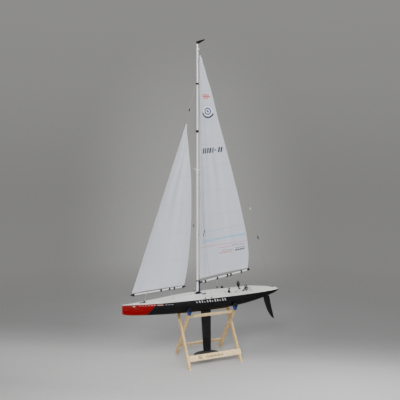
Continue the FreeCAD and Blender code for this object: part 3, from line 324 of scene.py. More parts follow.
class Shape:
    def __init__(self):
        self.points = []
        self.faces = []

    def add(self, points, faces):
        base = len(self.points)
        self.points += [Vector(p) for p in points]
        self.faces += [tuple(base + i for i in face) for face in faces]
        return self

    def grid(self, rows, around=False, closed=False):
        """Rows of points: around joins each row's ends, closed joins the last row to the first."""
        wide = len(rows[0])
        tall = len(rows)
        faces = []
        for i in range(tall if closed else tall - 1):
            for j in range(wide if around else wide - 1):
                a, b = i * wide + j, i * wide + (j + 1) % wide
                c, d = (i + 1) % tall * wide + (j + 1) % wide, (i + 1) % tall * wide + j
                faces.append((a, b, c, d))
        return self.add([p for row in rows for p in row], faces)

    def tube(self, path, radius, sides=10, closed=False):
        path = [Vector(p) for p in path]
        rows = []
        side = None
        for i, place in enumerate(path):
            before = path[i - 1] if i or closed else path[0]
            after = path[(i + 1) % len(path)] if i + 1 < len(path) or closed else path[-1]
            along = (after - before).normalized()
            guess = side or along.orthogonal()
            side = (guess - along * guess.dot(along)).normalized()
            rows.append([place + radius * way for way in unit_circle(side, along.cross(side), sides)])
        base = len(self.points)
        self.grid(rows, around=True, closed=closed)
        if not closed:
            last = base + (len(rows) - 1) * sides
            self.faces.append(tuple(base + k for k in range(sides)))
            self.faces.append(tuple(last + k for k in range(sides)))
        return self

    def lathe(self, start, along, profile, sides=32, hollow=False):
        """Profile points are (distance along the axis, radius); hollow joins the last to the first."""
        start = Vector(start)
        along = Vector(along).normalized()
        ways = unit_circle(*square_to(along), sides)
        rows = [[start + along * distance + radius * way for way in ways] for distance, radius in profile]
        return self.grid(rows, around=True, closed=hollow)

    def ring(self, centre, axis, big, small, sides=10, steps=28):
        ways = unit_circle(*square_to(Vector(axis).normalized()), steps)
        return self.tube([Vector(centre) + big * way for way in ways], small, sides, closed=True)

    def block(self, centre, half, x=(1, 0, 0), y=(0, 1, 0)):
        centre = Vector(centre)
        x = Vector(x).normalized()
        y = (Vector(y) - x * Vector(y).dot(x)).normalized()
        z = x.cross(y)
        corners = [(i, j, k) for k in (-1, 1) for j in (-1, 1) for i in (-1, 1)]
        points = [centre + x * (i * half[0]) + y * (j * half[1]) + z * (k * half[2]) for i, j, k in corners]
        return self.add(points, [(0, 2, 3, 1), (4, 5, 7, 6), (0, 1, 5, 4), (2, 6, 7, 3), (0, 4, 6, 2), (1, 3, 7, 5)])

    def prism(self, outline, offset):
        """A flat outline of points, thickened by the vector offset."""
        n = len(outline)
        offset = Vector(offset)
        points = [Vector(p) for p in outline] + [Vector(p) + offset for p in outline]
        faces = [tuple(range(n)), tuple(range(2 * n - 1, n - 1, -1))]
        faces += [(i, (i + 1) % n, n + (i + 1) % n, n + i) for i in range(n)]
        return self.add(points, faces)

    def turned(self, matrix):
        self.points = [matrix @ p for p in self.points]
        return self

    def build(self, name, mat, body, slot, bevel=0.0, sharp=38):
        """Makes the piece; edges sharper than sharp degrees aren't smoothed."""
        mesh = bpy.data.meshes.new(name)
        mesh.from_pydata([p * MM for p in self.points], [], self.faces)
        work = bmesh.new()
        work.from_mesh(mesh)
        bmesh.ops.remove_doubles(work, verts=work.verts, dist=WELD)
        bmesh.ops.dissolve_degenerate(work, edges=work.edges, dist=WELD)
        bmesh.ops.recalc_face_normals(work, faces=work.faces)
        for face in work.faces:
            face.smooth = True
        for edge in work.edges:
            if len(edge.link_faces) == 2 and edge.calc_face_angle(0) > math.radians(sharp):
                edge.smooth = False
        work.to_mesh(mesh)
        work.free()
        mesh.materials.append(mat)
        piece = bpy.data.objects.new(name, mesh)
        bpy.context.collection.objects.link(piece)
        if bevel:
            soften(piece, bevel)
        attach(piece, body)
        return piece


def soften(piece, width, segments=2):
    cut = piece.modifiers.new("bevel", "BEVEL")
    cut.width = width * MM
    cut.segments = segments
    cut.limit_method = "ANGLE"
    cut.angle_limit = math.radians(35)
    cut.use_clamp_overlap = True


def crisp(name, width, segments=2, merge=1e-6):
    """Welds a carried-over node's seams and rounds its edges."""
    join = NODES[name].modifiers.new("weld", "WELD")
    join.merge_threshold = merge
    soften(NODES[name], width, segments)


def about(base, axis, degrees):
    base = Vector(base)
    turn = Matrix.Rotation(math.radians(degrees), 4, Vector(axis))
    return Matrix.Translation(base) @ turn @ Matrix.Translation(-base)


def surface_of(node):
    mesh = NODES[node].data
    mesh.calc_loop_triangles()
    corners = [v.co / MM for v in mesh.vertices]
    return BVHTree.FromPolygons(corners, [tuple(t.vertices) for t in mesh.loop_triangles])


def eased(rows, t, column):
    """Smooth curve through rows of (place, value, value): a cubic between each pair."""
    places = [row[0] for row in rows]
    values = [row[column] for row in rows]
    t = min(max(t, places[0]), places[-1])
    index = max(i for i in range(len(places) - 1) if places[i] <= t)
    slopes = []
    for i in (index, index + 1):
        low, high = max(i - 1, 0), min(i + 1, len(places) - 1)
        slopes.append((values[high] - values[low]) / (places[high] - places[low]))
    span = places[index + 1] - places[index]
    share = (t - places[index]) / span
    start = (1 + 2 * share) * (1 - share) ** 2
    end = share * share * (3 - 2 * share)
    bend = span * share * (1 - share) * ((1 - share) * slopes[0] - share * slopes[1])
    return values[index] * start + values[index + 1] * end + bend


# ---------------------------------------------------------------- sails
LUFF_X = 30.0
MAIN_REST = 14.0
JIB_REST = 12.0
JIB_PIVOT = Vector((371, 0, 386))
JIB_HOIST = Vector((50, 0, 1635))
JIB_TACK = Vector((450, 0, 444))
JIB_HEAD = Vector((112, 0, 1402))
JIB_AXIS = (JIB_HOIST - JIB_PIVOT).normalized()
MAIN_TURN = about((LUFF_X, 0, 0), UP, MAIN_REST)
JIB_TURN = about(JIB_PIVOT, JIB_AXIS, JIB_REST)
CLOTH = 0.3
DRAFT = 0.42
FULL_HEIGHT = 250


class Sail:
    """A sail's surface. Places on it are (distance from the luff, height up the luff)."""

    def __init__(self, rows, low, high, luff, camber, turn, folds):
        self.rows, self.low, self.high = rows, low, high
        self.luff, self.camber, self.turn, self.folds = luff, camber, turn, folds

    def leech(self, height):
        return Vector((eased(self.rows, height, 1), 0.3, eased(self.rows, height, 2)))

    def chord(self, height):
        return (self.leech(height) - self.luff(height)).length

    def flat(self, across, height):
        """The place before the sail is turned with its boom."""
        luff = self.luff(height)
        leech = self.leech(height)
        wide = max((leech - luff).length, 1e-6)
        u = min(max(across / wide, 0), 1)
        place = luff.lerp(leech, across / wide)
        fill = min((height - self.low) / FULL_HEIGHT, 1)
        depth = wide * self.camber * (0.35 + 0.65 * fill)
        ahead, behind = 2 * DRAFT, 2 * (1 - DRAFT)
        belly = (u ** ahead * (1 - u) ** behind) / (DRAFT ** ahead * (1 - DRAFT) ** behind)
        place.y -= depth * belly + self.folds(u, (height - self.low) / (self.high - self.low), wide)
        return place

    def point(self, across, height, lift=0.0):
        """A place on the turned sail, lifted off the cloth along its normal."""
        place = self.flat(across, height)
        if lift:
            side = self.flat(across + 1, height) - self.flat(across - 1, height)
            top = min(height + 1, self.high)
            rise = self.flat(across, top) - self.flat(across, top - 2)
            place = place + side.cross(rise).normalized() * lift
        return self.turn @ place


def bump_line(value, centre, width):
    return math.exp(-((value - centre) / width) ** 2)


def crease(u, place, width, v, middle, reach):
    """A soft step in the cloth: a ridge on one side of place and a hollow on the other."""
    step = bump_line(u, place + width, width) - bump_line(u, place - width, width)
    return step * bump_line(v, middle, reach)


def main_folds(u, v, wide):
    folds = 5.0 * crease(u, 0.50 + 0.10 * v, 0.085, v, 0.47, 0.17)
    folds += 3.2 * crease(u, 0.13, 0.045, v, 0.30, 0.18)
    folds += 2.4 * crease(u, 0.30, 0.06, v, 0.62, 0.16)
    folds += 2.2 * crease(u, 0.75 - 0.1 * v, 0.06, v, 0.20, 0.14)
    folds += 1.8 * math.sin(9 * u + 16 * v) * bump_line(u, 0.08, 0.2) * bump_line(v, 0.05, 0.10)
    folds += 1.6 * math.sin(10 * (1 - u) + 20 * v) * bump_line(u, 0.92, 0.22) * bump_line(v, 0.04, 0.09)
    return folds * min(wide / 220, 1) - 0.6 * math.sin(v * 40) * bump_line(u, 1, 0.06)


def jib_folds(u, v, wide):
    folds = 6.0 * crease(u, 0.45 + 3.0 * max(v - 0.6, 0) ** 2, 0.10, v, 0.68, 0.30)
    folds += 2.6 * crease(u, 0.72, 0.06, v, 0.35, 0.20)
    folds += 1.6 * math.sin(8 * u - 15 * v) * bump_line(u, 0.15, 0.2) * bump_line(v, 0.07, 0.1)
    folds += 0.8 * math.sin(v * 62) * bump_line(u, 0, 0.08)
    return folds * min(wide / 220, 1)


MAIN_ROWS = [(486, -358, 507), (610, -362, 621), (810, -318, 817), (1050, -246, 1053), (1255, -176, 1256),
             (1405, -122, 1405), (1590, -61, 1590), (1700, -19, 1700), (1765, 6, 1765), (1801, 22, 1801)]
JIB_LUFF = (JIB_HEAD - JIB_TACK).length
JIB_ROWS = [(share * JIB_LUFF, x, z) for share, x, z in (
    (0.0, 102, 444), (0.11, 84, 535), (0.25, 71, 665), (0.43, 63, 837), (0.68, 70, 1076),
    (0.86, 91, 1252), (0.96, 106, 1352), (1.0, 109, 1400))]
MAIN = Sail(MAIN_ROWS, 486, 1801, lambda h: Vector((LUFF_X - 2.2, 0.3, h)), 0.075, MAIN_TURN, main_folds)
JIB = Sail(JIB_ROWS, 0, JIB_LUFF, lambda h: JIB_TACK.lerp(JIB_HEAD, h / JIB_LUFF) + Vector((0, 0.3, 0)), 0.08,
           JIB_TURN, jib_folds)


def patch(sail, place, wide, tall, lift=0.5):
    """A thin closed layer over both faces of the sail; place(s, t) gives where on it."""
    spots = [[place(j / wide, i / tall) for j in range(wide + 1)] for i in range(tall + 1)]
    return film(*([[sail.point(a, h, way * lift) for a, h in row] for row in spots] for way in (1, -1)))


def film(front, back):
    """Two grids of points closed round their edges."""
    shape = Shape()
    shape.grid(front).grid(back)
    shape.grid([front[0], back[0]]).grid([front[-1], back[-1]])
    shape.grid([[row[0] for row in front], [row[0] for row in back]])
    shape.grid([[row[-1] for row in front], [row[-1] for row in back]])
    return shape


def together(shapes):
    whole = Shape()
    for shape in shapes:
        whole.add(shape.points, shape.faces)
    return whole


def band(sail, a0, a1, h0, h1, slant=0.0, lean=0.0, wide=None, tall=None, lift=0.55):
    """A four-sided patch: slant raises its far end, lean shifts its top."""
    def place(s, t):
        return a0 + (a1 - a0) * s + lean * t, h0 + (h1 - h0) * t + slant * s
    return patch(sail, place, wide or max(2, int((a1 - a0) / 6)), tall or max(2, int((h1 - h0) / 6)), lift)


def oval(across, height, wide, tall, lift):
    def place(s, t):
        turn = 2 * math.pi * s
        return across + wide * t * math.cos(turn), height + tall * t * math.sin(turn)
    return patch(MAIN, place, 40, 5, lift)


def arc(s, t):
    """The band under the disc."""
    turn = math.radians(200 + 140 * s)
    reach = 1.02 + 0.34 * t
    return 66 + 34 * reach * math.cos(turn), 1484 + 31 * reach * math.sin(turn)


def corner(sail, spot, first, second, lift):
    """A reinforcing triangle with a gently hollowed outer edge."""
    def place(s, t):
        edge = (first[0] * (1 - s) + second[0] * s, first[1] * (1 - s) + second[1] * s)
        hollow = 1 - 0.10 * math.sin(math.pi * s)
        return spot[0] + edge[0] * t * hollow, spot[1] + edge[1] * t * hollow
    return patch(sail, place, 14, 8, lift)


def head_patches(sail, top, tall, layers):
    """Layers over the sail's head; each is (share of the height, lift)."""
    shapes = []
    for grow, lift in layers:
        def place(s, t, grow=grow):
            height = top - tall * grow * (1 - t)
            return sail.chord(height) * s, height
        shapes.append(patch(sail, place, 6, 12, lift))
    return shapes


def dress(sail, node, body, tapes, seams, corners):
    """Builds a sail's tapes, seams and corner patches, each as one piece."""
    parts = (("hems", HEM_CLOTH, tapes), ("seams", SEAM_CLOTH, [seam(sail, *row) for row in seams]),
             ("corners", HEM_CLOTH, corners))
    return [together(shapes).build(f"{node}_{part}", mat, body, "sailcloth") for part, mat, shapes in parts]


def cloth(sail, node, body):
    """The sail itself."""
    wide, tall = 64, 170
    rows = []
    for i in range(tall + 1):
        height = sail.low + (sail.high - sail.low) * (i / tall)
        chord = sail.chord(height)
        rows.append([sail.point(chord * j / wide, height) for j in range(wide + 1)])
    piece = Shape().grid(rows).build(node + "_cloth", MATERIALS["sailcloth"], body, "sailcloth", sharp=180)
    thick = piece.modifiers.new("cloth", "SOLIDIFY")
    thick.thickness = CLOTH * MM
    thick.offset = 0
    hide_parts(node)
    sail_area(sail)


def strip(sail, start, width, low, high, lift):
    """A tape up the sail; start(chord) gives its near edge."""
    def place(s, t):
        height = low + (high - low) * t
        return start(sail.chord(height)) + width * s, height
    return patch(sail, place, 3, 110, lift)


def seam(sail, height, rise):
    def place(s, t):
        level = min(height + rise * s, sail.high - 1)
        return 2 + (sail.chord(level) - 3) * s, level + 5 * (t - 0.5)
    return patch(sail, place, 50, 1, 0.34)


def sail_area(sail):
    """The flat area in square metres, summed over thin level slices."""
    slices = 400
    heights = [sail.low + (sail.high - sail.low) * i / slices for i in range(slices + 1)]
    total = 0.0
    for h0, h1 in zip(heights, heights[1:]):
        rise = sail.luff(h1) - sail.luff(h0)
        across = (sail.leech(h0) + sail.leech(h1) - sail.luff(h0) - sail.luff(h1)) / 2
        total += across.cross(rise).length
    return total * MM * MM


def dashes(starts, long, low, high, rise=0.0, origin=0.0, slant=0.0, lean=0.0):
    """A row of dashes on the mainsail; rise lifts each by its distance from origin."""
    return [band(MAIN, a, a + long, low + rise * (a - origin), high + rise * (a - origin), slant, lean)
            for a in starts]


def main_marks():
    """Each mark is (name, material, shapes)."""
    blocks = dashes((30, 46, 66, 82, 102, 146, 162), 11, 1231, 1263, 0.085, 30, 0.8, 4)
    blocks.append(band(MAIN, 121, 136, 1251, 1258, 1))
    sky = dashes(range(26, 352, 14), 9, 693, 707, 0.055, slant=0.5, lean=4)
    sky.append(band(MAIN, 28, 345, 754, 757, 24))
    rose = dashes(range(164, 250, 20), 16, 613, 619, 0.03, 162) + dashes(range(170, 246, 16), 12, 648, 653)
    grey = dashes(range(192, 258, 16), 12, 628, 633, slant=0.5) + dashes(range(262, 350, 16), 12, 651, 656, 0.01)
    navy = dashes(range(288, 356, 18), 14, 617, 627, 0.06, 288, 0.8, 2)
    navy += dashes(range(292, 356, 14), 10, 634, 638, 0.05, 288)
    return [
        ("red_stripes", PRINT_RED, [band(MAIN, 22, 72, 1573, 1578, 2), band(MAIN, 28, 78, 1563, 1570, 2),
                                    band(MAIN, 34, 66, 1555, 1560, 1)]),
        ("disc", PRINT_WHITE, [oval(66, 1482, 33, 30, 0.5)]),
        ("ring", PRINT_BLUE, [oval(66, 1483, 24, 22, 0.62)]),
        ("ring_field", PRINT_WHITE, [oval(66, 1483, 15, 13.5, 0.72)]),
        ("ring_dot", PRINT_BLUE, [oval(66, 1483, 8, 7, 0.82)]),
        ("arc", PRINT_NAVY, [patch(MAIN, arc, 24, 2, 0.62)]),
        ("blocks", PRINT_NAVY, blocks),
        ("sky_dashes", PRINT_SKY, sky),
        ("red_dashes", PRINT_ROSE, dashes(range(14, 368, 13), 6, 667, 672, 0.01)),
        ("rose_dashes", PRINT_ROSE, rose),
        ("grey_dashes", PRINT_GREY, grey),
        ("navy_dashes", PRINT_NAVY, navy),
    ]


def main_sail():
    tapes = [strip(MAIN, lambda c: c - 5.5, 5.6, 487, 1799, 0.42),
             band(MAIN, 1, 384, 487, 494, slant=20.0, wide=70, tall=2, lift=0.42),
             strip(MAIN, lambda c: 0, 7.0, 487, 1799, 0.5)]
    seams = ((1593, 15), (1420, 15), (1283, 15), (1147, 26), (1000, 16), (858, 10), (735, 20), (612, 18))
    corners = []
    for grow, lift in ((1.0, 0.5), (0.72, 0.66), (0.45, 0.82)):
        corners.append(corner(MAIN, (0.5, 487.5), (0, 62 * grow), (62 * grow, 2), lift))
        corners.append(corner(MAIN, (386, 487.5), (-62 * grow, 0), (-2, 62 * grow), lift))
    corners += head_patches(MAIN, 1799.5, 42, ((1.0, 0.5), (0.6, 0.7)))
    extras = dress(MAIN, "main_sail", "main_rig", tapes, seams, corners)
    for name, mat, shapes in main_marks():
        extras.append(together(shapes).build("main_mark_" + name, mat, "main_rig", "sailcloth"))
    cloth(MAIN, "main_sail", "main_rig")


def jib_sail():
    top = JIB_LUFF - 1
    tapes = [strip(JIB, lambda c: -0.6, 9.5, 2, top, 0.6), strip(JIB, lambda c: c - 5.0, 5.1, 2, top, 0.42),
             band(JIB, 1, 346, 1.5, 8, wide=60, tall=2, lift=0.42)]
    seams = ((170, 12), (345, 16), (520, 18), (700, 14), (860, 8))
    corners = []
    for grow, lift in ((1.0, 0.5), (0.7, 0.66), (0.42, 0.82)):
        corners.append(corner(JIB, (1, 2), (0, 56 * grow), (56 * grow, 0), lift))
        corners.append(corner(JIB, (347, 2), (-56 * grow, 0), (-8 * grow, 52 * grow), lift))
    corners += head_patches(JIB, top, 44, ((1.0, 0.62), (0.6, 0.8)))
    extras = dress(JIB, "jib_sail", "jib_rig", tapes, seams, corners)
    cloth(JIB, "jib_sail", "jib_rig")


main_sail()
jib_sail()


# ---------------------------------------------------------------- carried-over CAD nodes
PINE = {
    "stand_outer_leg_aft": PINE_OUTER, "stand_outer_leg_fore": PINE_OUTER,
    "stand_inner_leg_aft": PINE_INNER_SHADED, "stand_inner_leg_fore": PINE_INNER_SHADED,
    "stand_board": PINE_RAIL, "stand_outer_top_rail": PINE_RAIL,
    "stand_inner_low_rail": PINE_RAIL, "stand_inner_top_rail": PINE_RAIL,
}
PAINTED = {**PINE, "jib_swivel": MATERIALS["steel"]}
for row in frame["record"]["subparts"]:
    node = NODES[row["node"]]
    mat = PAINTED.get(row["node"]) or MATERIALS[row["material_slot"]]
    node.data.materials.clear()
    node.data.materials.append(mat)

for name in PINE:
    crisp(name, 1.3, 3, 1e-5)


# ---------------------------------------------------------------- foam sleeves
INNER_LEGS = (-166.5, 127.5)
OUTER_LEGS = (-183.0, 144.0)
LEG_TOP = 405.0
PIVOT_Z = 196
FOOT_Y = 134
BORE_THICK = 6.06
BORE_WIDE = 12.06
PAD_LONG = 33.0
PAD_CAP = 4.0
PAD_THICK = 4.5
PAD_SIDE = 1.9


def leg_loop(matrix, x, half_thick, half_wide, along):
    """A soft-cornered loop round a leg, at a distance up from its pivot."""
    points = []
    for k in range(48):
        turn = 2 * math.pi * k / 48
        cos, sin = math.cos(turn), math.sin(turn)
        points.append(matrix @ Vector((x + half_thick * math.copysign(abs(cos) ** 0.42, cos),
                                       half_wide * math.copysign(abs(sin) ** 0.42, sin), PIVOT_Z + along)))
    return points


def pads(name, node, legs, side, body):
    """Sleeves over the tops of two legs; side is where those are, 1 for port and -1 for starboard."""
    hull = surface_of("hull")
    matrix = about((0, 0, PIVOT_Z), (1, 0, 0), math.degrees(-LEG_TILT * side))
    top = LEG_TOP - math.hypot(FOOT_Y, PIVOT_Z)
    long = PAD_LONG + PAD_CAP
    steps = 26
    whole = Shape()
    for x in legs:
        outer = []
        for i in range(steps + 1):
            share = i / steps
            edge = min(share, 1 - share) * long
            swell = 1 - 0.35 * max(0, 1 - edge / 3.0) ** 2
            ripple = 0.25 * math.sin(share * 21 + x)
            outer.append(leg_loop(matrix, x, BORE_THICK + PAD_SIDE * swell, BORE_WIDE + (PAD_THICK + ripple) * swell,
                                  top - PAD_LONG + long * share))
        outer += [leg_loop(matrix, x, 7.6 * k, 15.6 * k, top + PAD_CAP + 0.4 * (1 - k)) for k in (0.85, 0.5, 0.0)]
        inner = [leg_loop(matrix, x, BORE_THICK * k, BORE_WIDE * k, top + 0.1) for k in (0.0, 0.6, 1.0)]
        inner.append(leg_loop(matrix, x, BORE_THICK, BORE_WIDE, top - PAD_LONG))
        for row in outer:
            for p in row:
                near, normal, index, gap = hull.find_nearest(p)
                if near and (p - near).dot(normal) < 0.5 and p.z > near.z - 25:
                    p.xyz = near + normal * 0.5
        whole.grid(outer + inner, around=True, closed=True)
    piece = whole.build(name, MATERIALS["blue_foam"], body, "blue_foam", sharp=60)
    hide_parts(node)


pads("foam_sleeves_outer", "stand_outer_pads", OUTER_LEGS, -1, "stand_outer_frame")
pads("foam_sleeves_inner", "stand_inner_pads", INNER_LEGS, 1, "stand_inner_frame")


# ---------------------------------------------------------------- painted marks
def side_mark(tree, x0, x1, z0, z1, side, slant=0.0):
    """A thin film on the hull's side; slant moves its top forward."""
    wide = max(2, int(abs(x1 - x0) / 5))
    front = []
    back = []
    for i in range(5):
        hits = []
        for j in range(wide + 1):
            start = Vector((x0 + (x1 - x0) * j / wide + slant * i / 4, side * 200, z0 + (z1 - z0) * i / 4))
            hit, normal, index, gap = tree.ray_cast(start, Vector((0, -side, 0)))
            hits.append((hit, normal if normal.y * side > 0 else -normal))
        front.append([hit + normal * 0.22 for hit, normal in hits])
        back.append([hit - normal * 0.3 for hit, normal in hits])
    return film(front, back)


def hull_marks():
    tree = surface_of("hull")
    silver = []
    rose = []
    for side in (1, -1):
        for i in range(12):
            start = 80 - 16 * i
            tall = 14 if i % 3 else 9
            silver.append(side_mark(tree, start, start - (7 if i % 3 else 5), 367.5, 367.5 + tall, side, 6))
        for start in (262, 250, 238, 226):
            silver.append(side_mark(tree, start, start - 8, 368.0, 370.4, side))
        silver.append(side_mark(tree, 440, 428, 364.5, 369.5, side, 3))
        rose.append(side_mark(tree, 307, 273, 367.4, 371.2, side, 3))
        rose += [side_mark(tree, start, start - 11, 368.2, 370.6, side) for start in (408, 392, 376, 360, 344, 328)]
    together(silver).build("hull_bars", STRIPE_SILVER, "boat", "hull_gelcoat")
    together(rose).build("hull_rose_dashes", STRIPE_ROSE, "boat", "hull_gelcoat")


def board_marks():
    """Scorched bars on the stand's board, drawn upright and turned with the outer legs."""
    matrix = about((0, 0, PIVOT_Z), (1, 0, 0), math.degrees(LEG_TILT))
    face_y = 19.12
    whole = Shape()

    def bar(x0, x1, low, high, lean=0.0):
        low, high = PIVOT_Z + low, PIVOT_Z + high
        outline = [(x0, face_y, low), (x1, face_y, low), (x1 + lean, face_y, high), (x0 + lean, face_y, high)]
        whole.prism(outline, (0, -0.4, 0))
    for low in (-191, -184, -177):
        bar(61, 83, low, low + 3.6)
    for i in range(10):
        start = 38 - 11.6 * i
        bar(start - 6.5, start, -190, -178 if i % 2 else -182, 3)
    whole.turned(matrix).build("board_scorched_bars", SCORCH, "stand_outer_frame", "plywood")


hull_marks()
board_marks()


# ---------------------------------------------------------------- deck fittings
def on_deck(tree, x, y):
    hit, normal, index, gap = tree.ray_cast(Vector((x, y, 600)), Vector((0, 0, -1)))
    return hit.z


DECK = surface_of("deck")


def barrel(share, low, high, tall):
    """The height and radius at a share of the way up a waisted drum."""
    waist = 0.9 * math.sin(math.pi * share) * low / 6.5
    return 1.8 + (tall - 3.4) * share, low + (high - low) * share - waist


def deck_winches():
    """Waisted drums with ten ribs each, large ones and small ones."""
    fuller = 1.3
    ribs = 10
    drums = Shape()
    for x, y, low, high, tall in ((-143, 50, 6.5, 4.0, 12), (-192, 48, 3.4, 2.6, 6)):
        profile = [(-2.6, 0), (-2.6, low + 1.2), (1.0, low + 1.2), (1.5, low + 0.7)]
        profile += [barrel(step / 8, low, high, tall) for step in range(9)]
        profile += [(tall - 1.2, high + 0.8), (tall - 0.6, high + 1.0), (tall + 0.7, high + 1.0),
                    (tall + 1.2, high + 0.5), (tall + 1.2, 1.5), (tall - 1.0, 1.2), (tall - 1.0, 0)]
        for side in (1, -1):
            foot = Vector((x, y * side, on_deck(DECK, x, y * side) + 0.8))
            drums.lathe(foot, UP, [(d, fuller * r) for d, r in profile], 40)
            for way in unit_circle(Vector((1, 0, 0)), Vector((0, 1, 0)), ribs):
                spots = [barrel(0.12 + 0.76 * step / 4, low, high, tall) for step in range(5)]
                drums.tube([foot + UP * height + way * (fuller * radius) for height, radius in spots], 0.35, 6)
    piece = drums.build("winch_drums_on_deck", MATERIALS["black_nylon"], "boat", "black_nylon", sharp=50)
    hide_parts("deck_winches")


def deck_grommets():
    rings = Shape()
    for x, y in ((193, 0), (84, 0), (-120, 46), (-120, -46)):
        base = on_deck(DECK, x + 4.4, y) if x > 100 else on_deck(DECK, x, y + math.copysign(4.6, y or 1))
        rings.lathe((x, y, base), UP, [(-4.5, 1.0), (-4.5, 1.95), (0.1, 1.95), (0.1, 4.2), (0.9, 4.2), (1.7, 3.7),
                                       (2.3, 2.7), (2.5, 1.9), (2.2, 1.2), (1.4, 1.0)], 30, hollow=True)
    piece = rings.build("deck_grommets", MATERIALS["black_nylon"], "boat", "black_nylon", sharp=50)
    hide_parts("deck_eyelets")


deck_winches()
deck_grommets()


# ---------------------------------------------------------------- mast bands and rigging sliders
MAST_X = 41.0
WIRE_R = 0.56


def band_ring(shape, start, along, length, inner, thick, sides=32):
    """A ring with rounded outer edges."""
    soft = min(0.5, thick * 0.4)
    outer = inner + thick
    profile = [(0, inner), (0, outer - soft), (soft, outer), (length - soft, outer), (length, outer - soft),
               (length, inner)]
    shape.lathe(start, along, profile, sides, hollow=True)


def mast_bands():
    black = Shape()
    band_ring(black, (MAST_X, 0, 1629), UP, 12, 5.05, 1.4)
    band_ring(black, (MAST_X, 0, 1353), UP, 16, 5.05, 1.6)
    black.block((47.9, 0, 1636), (1.0, 2, 4.6))
    black.ring((49.6, 0, 1635), (0, 1, 0), 2.0, 0.7)
    black.block((48.6, 0, 1361), (1.9, 2, 6))
    for z in (1357, 1365):
        black.lathe((MAST_X, 5.9, z), (0, 1, 0), [(0, 0), (0, 1.7), (0.5, 1.7), (0.9, 1.1), (0.9, 0)], 16)
    piece = black.build("mast_black_bands", MATERIALS["black_nylon"], "boat", "black_nylon", bevel=0.2)
    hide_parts("mast_fittings")
    silver = Shape()
    for low, high, inner in ((1682, 1688, 5.05), (1784, 1792, 5.05), (1116, 1124, 5.55), (1826, 1836, 5.05)):
        band_ring(silver, (MAST_X, 0, low), UP, high - low, inner, 1.2)
    silver.block((32.4, 0, 1832.1), (3.4, 1.5, 1.9))
    silver.ring((29.4, 0, 1832.1), UP, 1.6, 0.6)
    for z in (1788, 1120):
        for side in (1, -1):
            silver.ring((MAST_X, side * 7.4, z), (1, 0, 0), 1.3, 0.4, 8, 18)
    piece = silver.build("mast_alloy_bands", MATERIALS["mast_alloy"], "boat", "mast_alloy", bevel=0.15)
    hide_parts("mast_fittings")


def wire_runs():
    """The port shrouds."""
    upper_foot = Vector((28, 87.5, 403))
    lower_foot = Vector((-12, 90.5, 403.5))
    tip = Vector((MAST_X, 66.2, 1145))
    masthead = Vector((MAST_X, 7, 1788))
    lower_top = Vector((MAST_X, 7.5, 1120))
    return [(upper_foot, tip), (tip, masthead), (lower_foot, lower_top)]


BACKSTAY = (Vector((-464, 0, 396.5)), Vector((-6, 0, 1885)))


def on_side(run, side):
    """A port run of wire, or its mirror when side is -1."""
    return tuple(Vector((p.x, p.y * side, p.z)) for p in run)


def slider(shape, start, end, z, half, radius):
    """A waisted bead on a wire, at a height."""
    along = (end - start).normalized()
    middle = start + along * ((z - start.z) / along.z)
    lower = [(-half, WIRE_R), (-half, radius * 0.62), (0.9 - half, radius), (-half * 0.35, radius),
             (-half * 0.25, radius * 0.74)]
    shape.lathe(middle, along, lower + [(-d, r) for d, r in reversed(lower)], 20, hollow=True)


def sliders():
    black = Shape()
    runs = wire_runs()
    for run, side, z in ((0, 1, 762), (0, -1, 798), (2, 1, 778), (2, -1, 742)):
        slider(black, *on_side(runs[run], side), z, 8, 2.6)
    slider(black, *BACKSTAY, 714, 9, 3.3)
    piece = black.build("stay_sliders", MATERIALS["black_nylon"], "boat", "black_nylon", sharp=30)
    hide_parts("stay_adjusters")
    white = Shape()
    slider(white, *BACKSTAY, 897, 5, 3.4)
    piece = white.build("backstay_ring", WHITE_NYLON, "boat", "black_nylon", sharp=30)
    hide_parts("stay_adjusters")


def ferrules():
    """Crimps where the wires leave the chainplates, and eyes at the spreaders' tips."""
    shape = Shape()
    runs = wire_runs()
    for side in (1, -1):
        for run in (0, 2):
            start, end = on_side(runs[run], side)
            along = (end - start).normalized()
            band_ring(shape, start + along * 1, along, 9, WIRE_R, 0.9, 14)
            shape.ring(start - along * 1.6, (1, 0, 0), 2.2, 0.5, 8, 20)
        tip = on_side(runs[0], side)[1]
        shape.lathe(tip, (0, side, 0.15), [(-2.4, 0), (-2.4, 1.5), (-0.9, 1.7), (0.5, 1.2), (0.9, 0)], 14)
    start, end = BACKSTAY
    along = (end - start).normalized()
    band_ring(shape, start + along * 2, along, 9, WIRE_R, 0.9, 14)
    shape.build("wire_ferrules", MATERIALS["steel"], "boat", "rig_wire", sharp=30)


mast_bands()
sliders()
ferrules()


# ---------------------------------------------------------------- booms
def boom_place(x):
    return Vector((x, 0, 467 + 28 * (6 - x) / 368))


BOOM_ALONG = (boom_place(-362) - boom_place(6)).normalized()
BOOM_DOWN = Vector((0, 1, 0)).cross(BOOM_ALONG).normalized()
if BOOM_DOWN.z > 0:
    BOOM_DOWN = -BOOM_DOWN


def clamp(shape, centre, along, down, inner, thick, half, drop):
    """A clamp round a boom, with a screwed lug under it."""
    band_ring(shape, centre - along * half, along, 2 * half, inner, thick)
    lug = centre + down * (inner + thick * 0.6 + drop / 2)
    shape.block(lug, (half * 0.62, 1.6, drop / 2), along, (0, 1, 0))
    screw = [(0, 0), (0, 2.1), (0.6, 2.1), (1.2, 1.4), (1.2, 0.6), (0.6, 0.6), (0.6, 0)]
    for way in (1, -1):
        shape.lathe(lug + Vector((0, 1.6 * way, 0)), (0, way, 0), screw, 14)


